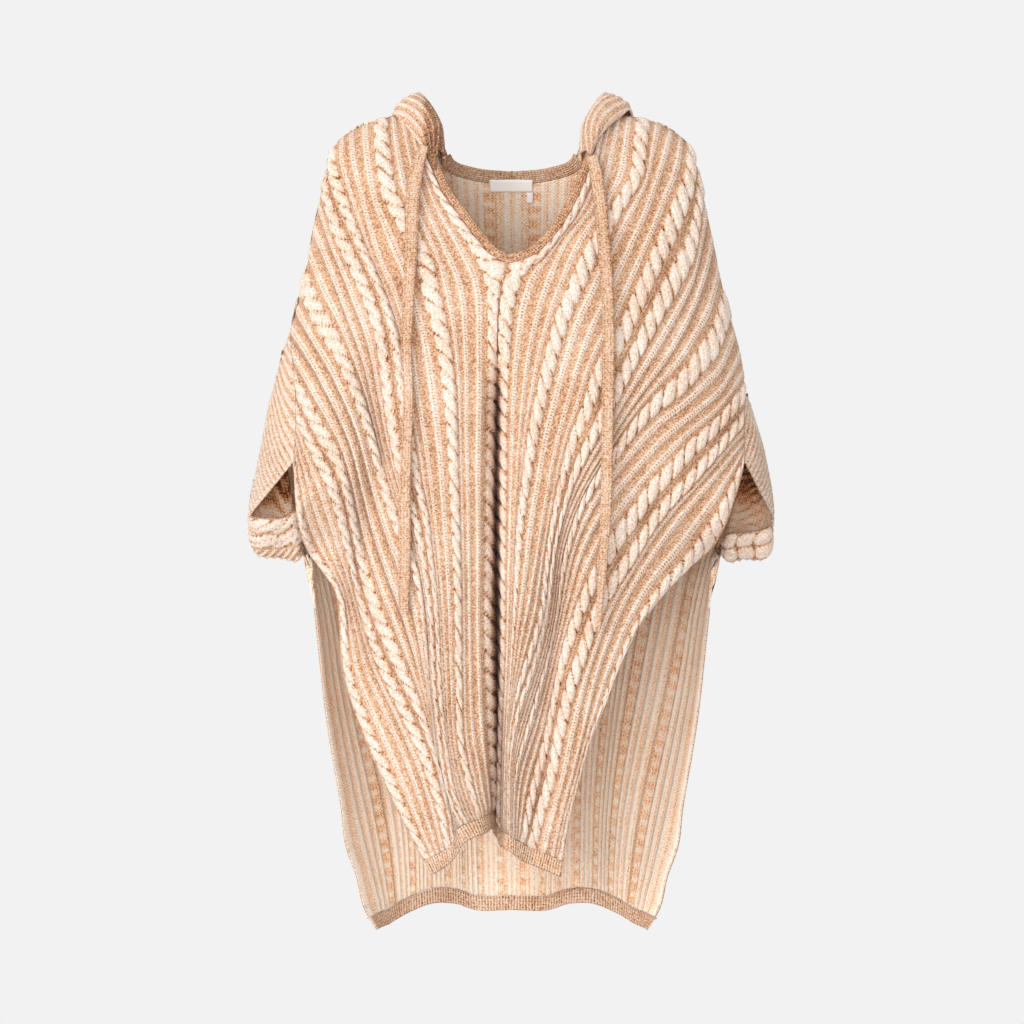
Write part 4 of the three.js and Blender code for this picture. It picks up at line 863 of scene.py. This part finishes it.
def front_panel():
    halves = [(front_right, 1), (front_left, -1)]
    points = [panel.place(front_columns[:, 0], front_down) for panel, turn in halves]
    normals = [facing(p, np.array([0, -1.0, 0])) for p in points]
    shared = unit(normals[0][0, v_row:] + normals[1][0, v_row:])
    outer, inner = [], []
    keep = np.unique(list(range(0, len(front_columns), COARSE)) + [len(front_columns) - 1])
    for p, n, (panel, turn) in zip(points, normals, halves):
        n[0, v_row:] = shared
        square_to_outline(p, n)
        height, stitch, relief = right_side(p, front_columns, turn)
        # Painted shade down the middle fold: below CLEFT_TOP the crest is dimmed and the painted shade raised
        # near the middle.
        cleft_shade = smooth((CLEFT_WIDTH - front_columns[:, :1]) / 5) * smooth((CLEFT_TOP - p[..., 2]) / 80)
        relief[..., 2] = np.maximum(relief[..., 2], 0.85 * cleft_shade)
        relief[..., 0] *= 1 - 0.8 * cleft_shade
        outer.append((p + n * height[..., None], stitch, relief))
        wall = p - n * WALL
        wall[..., 1] = np.minimum(wall[..., 1], -HALF_SEAM)
        few = np.ix_(keep, front_coarse)
        plain = plain_side(p[few], front_columns[keep], turn)
        inner.append((wall[few], *plain))
    piece = cloth_sheet("front_panel_knit", (outer, inner), (cable_knit, purl_knit), weld=0.02)
    return on_sweater(piece, "cable_knit", "front_panel")


front_knit = front_panel()

# %% [markdown]
# ## Back panel
# The back is longer than the front and opens out at its sides, so its wrong side is in view beside
# and below the front. There the cables read as flat tan ladders crossed by pale floats, and the
# ribs as fine pale columns with rows of small holes. Its right side, seen from behind, has the
# same cables and ribs as the front, so both sides get a fine grid.

# %% back panel
BACK_ROWS = 176
FLOAT_SPACING = 17.0          # distance between the pale floats of a ladder
FLOAT_SIGMA = 2.6
PURL_HEIGHT = 1.3

back_half = pattern_columns(BACK_PATTERN, RIB_PITCH / 2, BACK_WIDTH, FEW_RIB_STEPS, FEW_CABLE_STEPS)
back_columns = np.concatenate([back_half[::-1] * [-1, -1, 1], [[0, 0, 0]], back_half])
back_down = np.array(TOP_ROWS + list(np.linspace(0.024, 1, BACK_ROWS)))


def place_back(across, down, in_hem=False):
    across = np.asarray(across, float)
    left = back_left.place(-across[across < 0], down, in_hem)
    right = back_right.place(across[across >= 0], down, in_hem)
    return np.concatenate([left, right])


def wrong_side(points, columns):
    """Height and numbers of the wrong side where it shows."""
    across, centre, cable = columns.T
    run = run_along(points, 1)
    x = np.clip((across - centre) / (CABLE_WIDTH / 2), -1, 1)[:, None] * np.ones_like(run)
    along = along_wales(points, across, centre)
    phase = along % FLOAT_SPACING - FLOAT_SPACING / 2
    floats = np.exp(-(phase / FLOAT_SIGMA) ** 2) * np.clip(1 - np.abs(x) ** 3, 0, 1)
    pale_and_painted_light = smooth(np.abs(across - centre) / (RIB_PITCH / 2))[:, None] * np.ones_like(run)
    in_cable = cable[:, None] * np.ones_like(run)
    height = np.where(in_cable > 0, PURL_HEIGHT * (1.2 * floats - 0.5 * (1 - x ** 2)),
                      PURL_HEIGHT * (pale_and_painted_light - 0.4))
    crest = np.where(in_cable > 0, 0.1 + 0.8 * floats, 0.25 + 0.75 * pale_and_painted_light)
    stitch = np.stack([across[:, None] * np.ones_like(run), along,
                       np.abs(across - centre)[:, None] * np.ones_like(run)], axis=-1)
    relief = np.stack([crest, in_cable, 0 * crest], axis=-1)
    to_side = smooth((BACK_WIDTH - np.abs(across)) / EDGE_RAMP)[:, None]
    return height * edge_ramp(run) * to_side, stitch, relief


def back_panel():
    points = place_back(back_columns[:, 0], back_down)
    normals = facing(points, np.array([0, 1.0, 0]))
    square_to_outline(points, normals)
    height, stitch, relief = right_side(points, back_columns, 1)
    outer = [(points + normals * height[..., None], stitch, relief)]
    purl, *wrong = wrong_side(points, back_columns)
    wall = points - normals * (WALL + purl)[..., None]
    wall[..., 1] = np.maximum(wall[..., 1], HALF_SEAM)
    piece = cloth_sheet("back_panel_knit", (outer, [(wall, *wrong)]), (cable_knit, purl_knit))
    return on_sweater(piece, "cable_knit", "back_panel")


back_knit = back_panel()

# %% [markdown]
# ## Sleeve ends
# A short batwing sleeve closes each side between the two panels, and its hand opening is turned
# to the front. It is laid between the panels' own edges, through four lines measured on the
# outside of the arm. Ribs run down it, and along the lower lip of the opening lie two cables.

# %% sleeves
SLEEVE_GAP = 0.4              # gap to the panels' edges
SEAM_ENDS = (0.02, 0.985)
SLEEVE_WALL = 2.5
SLEEVE_CENTRE = (262, 0, -420)
SLEEVE_COLUMNS = 120
SLEEVE_ROWS = 100
SLEEVE_RELIEF = 2.2
SLEEVE_PITCH = 9.0            # spacing of a sleeve's ribs
SLEEVE_SHADE = -450.0         # height above which the inside of a sleeve lies in shade
LIP_FROM = 0.36               # share of the way round where the cables of the lower lip start
LIP_CABLES = 42.0             # height of the lip that the cables take up
RIB_LEAN = 0.45               # how far a sleeve's ribs turn to the front for each step down
SLEEVE_LINES = {
    "right": [
        [(268.6, -1.5, -303), (274, -21, -334), (278, -31, -357), (281, -36, -385), (284, -34, -415)],
        [(269, -0.8, -303.5), (279, -2, -337), (288, -4, -368), (297, -2, -412), (300, -10, -446)],
        [(269.2, 0, -304), (279, 13, -340), (290, 20, -384), (295, 8, -484), (293, -22, -458)],
        [(269, 0.8, -303.5), (275, 25, -343), (281, 38, -388), (268, 14, -490), (268, -26, -464)],
        [(268.6, 1.5, -303), (270, 20, -340), (264, 26, -395), (246, 12, -489), (246, -22, -466)],
    ],
    "left": [
        [(256.9, -1, -236), (260, -34, -291), (262, -46, -337), (268, -46, -376), (275, -38, -412)],
        [(258.4, -1, -241), (268.5, -19, -293), (280, -15, -343), (297, -3, -408), (300, -9, -442)],
        [(259.8, -1, -246), (272, -7, -294), (284, 5, -347), (297, 10, -478), (293, -24, -446)],
        [(261.3, -0.8, -251), (271.5, 3, -294), (279, 21, -349), (268, 18, -488), (266, -28, -447)],
        [(262.3, -0.4, -254), (268, 8, -296), (266, 22, -360), (244, 14, -487), (243, -24, -440)],
    ],
}


def past_edge(panel, across, gap):
    """Places just past a panel's top edge, square to the edge and in line with the cloth."""
    edge = panel.place(across, 0)[:, 0]
    away = unit(edge - panel.place(across, 0.012)[:, 0])
    tangent = unit(panel.place(across + 2, 0)[:, 0] - panel.place(np.abs(across - 2), 0)[:, 0])
    away = unit(away - tangent * np.sum(away * tangent, axis=-1, keepdims=True))
    return edge + away * gap


def sleeve_stitches(points, side, inside=False):
    """Ribs down the sleeve and two cables along the lower lip, or rows round the inside."""
    around = run_along(points, 0)
    down = run_along(points, 1)
    share = np.linspace(0, 1, points.shape[0])[:, None]
    to_lip = down[:, -1:] - down
    in_lip = smooth((share - LIP_FROM) * 12) * smooth((LIP_CABLES - to_lip) / 3 + 1)
    rib_at = down if inside else around + RIB_LEAN * down
    from_rib = np.abs((rib_at / SLEEVE_PITCH) % 1 - 0.5) * SLEEVE_PITCH
    ridge = np.exp(-(from_rib / RIB_SIGMA) ** 2)
    x = 2 * ((to_lip / (LIP_CABLES / 2)) % 1) - 1
    turns = around / TONGUE - TONGUE_LEAN * x * side
    rope, gap = rope_of(turns, x)
    ends = edge_ramp(down) * np.minimum(edge_ramp(around.T).T + 0.2, 1)
    height = ((1 - in_lip) * SLEEVE_RELIEF * ridge + in_lip * CABLE_HEIGHT * 0.6 * rope) * ends
    crest = (1 - in_lip) * ridge + in_lip * 0.75 * smooth(rope * 1.3)
    # Painted shade in the grooves of the lip's cables.
    painted_shade = in_lip * gap
    rows, wales = (down, around) if inside else (around, down)
    stitch = np.stack([rows, wales, from_rib], axis=-1)
    return height, stitch, np.stack([crest, in_lip, painted_shade], axis=-1)


def sleeve(name, node):
    side = 1 if name == "right" else -1
    rows = np.linspace(0, 1, SLEEVE_ROWS)
    share = np.clip(rows, *SEAM_ENDS)
    panels = (front_right, back_right) if side > 0 else (front_left, back_left)
    edges = []
    for panel, (first, last) in zip(panels, SLEEVE_SEAMS[name]):
        edges.append(past_edge(panel, first + share * (last - first), SLEEVE_GAP))
    between = [through(np.array(line) * [side, 1, 1], rows) for line in SLEEVE_LINES[name]]
    points = through(np.array([edges[0], *between, edges[1]]), np.linspace(0, 1, SLEEVE_COLUMNS))
    normals = facing(points, points - np.array([side * SLEEVE_CENTRE[0], *SLEEVE_CENTRE[1:]]))
    height, stitch, relief = sleeve_stitches(points, side)
    outer = [(points + normals * height[..., None], stitch, relief)]
    wall = points - normals * SLEEVE_WALL
    _, stitch, relief = sleeve_stitches(points, side, inside=True)
    # Painted shade: the inside of the sleeve is drawn darker towards its top.
    relief[..., 2] = smooth((points[..., 2] - SLEEVE_SHADE) / 50)
    inner = [(wall, stitch, relief)]
    piece = cloth_sheet(f"{name}_sleeve_knit", (outer, inner), (cable_knit, purl_knit))
    return on_sweater(piece, "cable_knit", node)


right_sleeve = sleeve("right", "sleeve_right")
left_sleeve = sleeve("left", "sleeve_left")

# %% [markdown]
# ## Hood
# The hood lies down behind the neck. A raised corner stands on each side of the neck opening, and
# the rest falls over the back. Sections from the neck seam over the crest to the turned-in end
# are joined round from one corner to the other.

# %% hood
HOOD_WALL = 2.6
HOOD_COLUMNS = 240
HOOD_ROWS = 70
HOOD_PITCH = 11.0
HOOD_RELIEF = 1.8
HOOD_INSIDE = 104             # how far out the shaded inner fold of the left corner reaches
BODY_CENTRE = (0, 20, -120)
HOOD_SECTIONS = [
    [(78, -36, -40), (77, -42, -29), (83, -50, -25), (88, -55, -30), (88, -55, -38)],
    [(83, -6, -12), (80, -14, 0), (88, -31, 8), (98, -43, 2), (102, -43, -8)],
    [(87, 10, 2), (91, 4, 24), (104, -10, 33), (118, -21, 22), (124, -19, 13)],
    [(88.2, 28, -7), (104, 20, 40), (121, 12, 38), (134, 6, 29), (139, 5, 20)],
    [(78.5, 45, -21), (100, 52, 26), (128, 66, 14), (142, 76, -22), (136, 72, -42)],
    [(56, 62, -50), (80, 82, -32), (108, 112, -62), (116, 118, -130), (104, 106, -156)],
    [(0, 68, -66), (0, 86, -60), (0, 132, -108), (0, 142, -200), (0, 116, -240)],
]
SHOULDER_REST = (14, 16, 8, 6)  # how much further the left side lies down, front corner first


def hood():
    right = [np.array(section, float) for section in HOOD_SECTIONS]
    left = [section * [-1, 1, 1] for section in right[:-1]]
    for section, rest in zip(left, SHOULDER_REST):
        section[3:, 2] -= rest * np.array([0.6, 1.0])
    sections = np.array(right + left[::-1])
    ribs = through(sections, np.linspace(0, 1, HOOD_COLUMNS))
    points = through(ribs.transpose(1, 0, 2), np.linspace(0, 1, HOOD_ROWS)).transpose(1, 0, 2)
    normals = facing(points, points - np.array(BODY_CENTRE))
    around = run_along(points, 0)[:, HOOD_ROWS // 2][:, None] * np.ones((1, HOOD_ROWS))
    down = run_along(points, 1)
    rib_at = down - down[:, HOOD_ROWS // 4][:, None]
    from_rib = np.abs((rib_at / HOOD_PITCH) % 1 - 0.5) * HOOD_PITCH
    ridge = np.exp(-(from_rib / RIB_SIGMA) ** 2)
    height = HOOD_RELIEF * ridge * edge_ramp(down)
    stitch = np.stack([rib_at, around, from_rib], axis=-1)
    shade = smooth((-points[..., 0] - 60) / 10) * smooth((HOOD_INSIDE - np.abs(points[..., 0])) / 6)
    shade = shade * (points[..., 1] < 60)
    relief = np.stack([ridge * (1 - 0.5 * shade), 0 * ridge, 0.75 * shade], axis=-1)
    outer = [(points + normals * height[..., None], stitch, relief)]
    wall = points - normals * HOOD_WALL
    piece = cloth_sheet("hood_knit", (outer, [(wall, stitch, relief)]), (cable_knit, purl_knit))
    return on_sweater(piece, "cable_knit", "hood")


hood_knit = hood()

# %% [markdown]
# ## Bands, binding and labels
# The hems end in bands of fine one-by-one rib, the V in a rolled binding, and a narrow band
# stands inside the back neck. They are the same closed sheets, only narrower, and their ribs
# follow the distance run along them. The woven label and its small tab are left bare.

# %% bands and binding
HEM_WALL = 2.6
BAND_RELIEF = 0.9
BAND_STEP = 1.1               # spacing of a band's columns, so that each rib has three
BAND_ROWS = 7
ROLL_WIDTH = 10.0
ROLL_UNDER = 2.0              # how far the roll reaches under the front's edge
ROLL_HEIGHT = 2.0
BACK_BAND = 15.0
BACK_BAND_REACH = 80


def band(name, points, outward, wall, node, finish=fine_rib, relief_height=BAND_RELIEF, roll=0.0,
         pale_and_painted_light=0.0):
    """A strip of fine rib or plain knit. Its columns run along the band, its rows across."""
    normals = facing(points, outward)
    along = run_along(points, 0)[:, points.shape[1] // 2][:, None] * np.ones((1, points.shape[1]))
    across = run_along(points, 1)
    share = np.linspace(0, 1, points.shape[1])[None]
    height = relief_height * 0.5 * (1 + np.sin(2 * math.pi * along / RIB_LINE))
    height = height * smooth(6 * np.minimum(share, 1 - share)) + roll * np.sin(math.pi * share)
    stitch = np.stack([along, across, 0 * along], axis=-1)
    relief = np.zeros_like(stitch)
    # Painted light: this raises the crest tone of a band that lies in shade.
    relief[..., 0] = pale_and_painted_light
    outer = [(points + normals * height[..., None], stitch, relief)]
    inner = [(points - normals * wall, stitch, relief)]
    return on_sweater(cloth_sheet(name, (outer, inner), (finish, finish)), "rib_knit", node)


def even_columns(place, low, high):
    """Distances across the cloth that lie evenly along a band's true length."""
    rough = np.linspace(low, high, 600)
    run = run_along(place(rough), 0)[:, 0]
    return np.interp(np.linspace(0, run[-1], int(run[-1] / BAND_STEP)), run, rough)


def front_hem_place(across, down=(0.5,)):
    left = front_left.place(-across[across < 0], down, True)
    right = front_right.place(across[across >= 0], down, True)
    return np.concatenate([left, right])


def back_hem_place(across, down=(0.5,)):
    return place_back(across, down, True)


def band_points(place, reach):
    columns = even_columns(place, -reach, reach)
    return place(columns, np.linspace(0, 1, BAND_ROWS))


front_hem = band("front_hem_rib", band_points(front_hem_place, FRONT_WIDTH),
                      np.array([0, -1.0, 0]), HEM_WALL, "front_hem_band")
back_hem = band("back_hem_rib", band_points(back_hem_place, BACK_WIDTH),
                     np.array([0, 1.0, 0]), HEM_WALL, "back_hem_band")


def binding_points():
    """From corner to corner round the V, a strip that stands inside the front's neck edges."""
    down = np.linspace(0, V_POINT, 120)
    chains = []
    for panel, side in ((front_right, 1), (front_left, -1)):
        edge = panel.place(0, down)[0]
        along = np.gradient(edge, axis=0)
        inwards = unit(np.stack([-side * np.abs(along[:, 2]), 0 * along[:, 0], np.abs(along[:, 0])], axis=-1))
        chains.append((edge, inwards))
    (right_edge, right_in), (left_edge, left_in) = chains
    right_in[-1] = (0, 0, 1)
    edge = np.concatenate([right_edge, left_edge[-2::-1]])
    inwards = np.concatenate([right_in, left_in[-2::-1]])
    for _ in range(4):
        inwards[1:-1] = unit(inwards[:-2] + 2 * inwards[1:-1] + inwards[2:])
    width = np.linspace(-ROLL_UNDER, ROLL_WIDTH, BAND_ROWS)
    return edge[:, None] + inwards[:, None] * width[None, :, None]


neck_roll = band("neck_binding_roll", binding_points(), np.array([0, -1.0, 0]), WALL, "neck_binding",
                 finish=plain_marl, relief_height=0.2, roll=ROLL_HEIGHT)


def back_band_points():
    across = np.linspace(-BACK_BAND_REACH, BACK_BAND_REACH, 140)
    rows = []
    for share in np.linspace(0, 1, BAND_ROWS):
        gap = LINKED + share * BACK_BAND
        left = past_edge(back_left, -across[across < 0], gap)
        right = past_edge(back_right, across[across >= 0], gap)
        rows.append(np.concatenate([left, right]))
    return np.array(rows).transpose(1, 0, 2)


# The back neck band lies in shade and gets painted light, so that it reads lighter.
back_band = band("back_neck_rib", back_band_points(), np.array([0, 1.0, 0]), WALL, "back_neck_band",
                 finish=plain_marl, relief_height=0.2, pale_and_painted_light=0.7)

# %% woven label and size tab
LABEL_THICKNESS = 0.8
LABEL_CLEAR = 1.2
LABEL = (-26, 24, -55, -69)   # left, right, top and bottom
SIZE_TAB = (17, 24, -69.5, -82)
SATIN_THREAD = 0.6            # drawn twice as coarse as the real thread, so that it shows


def satin():
    """White woven polyester satin: smooth, slightly glossy, with a fine crosswise thread."""
    material = bpy.data.materials.new("woven_polyester_satin")
    material.use_nodes = True
    tree = material.node_tree
    tree.nodes.clear()
    place = add_node(tree, "ShaderNodeTexCoord")["Object"]
    height = add_node(tree, "ShaderNodeSeparateXYZ", place)[2]
    thread = wave(tree, height, SATIN_THREAD * MM)
    tone = add_node(tree, "ShaderNodeMapRange", thread, -1.0, 1.0, 0.0, 1.0)[0]
    colour = add_node(tree, "ShaderNodeMix", sockets={"Factor": tone}, data_type="RGBA")
    mix = colour[2].node
    mix.inputs[6].default_value = linear("#f4f0ec")
    mix.inputs[7].default_value = linear("#fffdfa")
    normal = add_node(tree, "ShaderNodeBump", sockets={
        "Strength": 0.3, "Distance": 0.1 * MM, "Height": thread})[0]
    surface = add_node(tree, "ShaderNodeBsdfPrincipled", sockets={
        "Base Color": colour[2], "Roughness": 0.45, "Normal": normal})[0]
    add_node(tree, "ShaderNodeOutputMaterial", surface)
    return material


def woven_piece(name, box, node, material):
    left, right, top, bottom = box
    x = np.linspace(left, right, 24)[:, None] * np.ones((1, 8))
    z = np.linspace(top, bottom, 8)[None] * np.ones((24, 1))
    depth = depth_at(x, z, "back") - WALL - LABEL_CLEAR
    points = np.stack([x, depth, z], axis=-1)
    normals = facing(points, np.array([0, 1.0, 0]))
    plain = np.zeros_like(points)
    sides = ([(points, plain, plain)], [(points - normals * LABEL_THICKNESS, plain, plain)])
    return on_sweater(cloth_sheet(name, sides, (material, material)), "woven_label", node)


label_satin = satin()
label = woven_piece("bare_woven_label", LABEL, "label", label_satin)
size_tab = woven_piece("bare_size_tab", SIZE_TAB, "size_tab", label_satin)
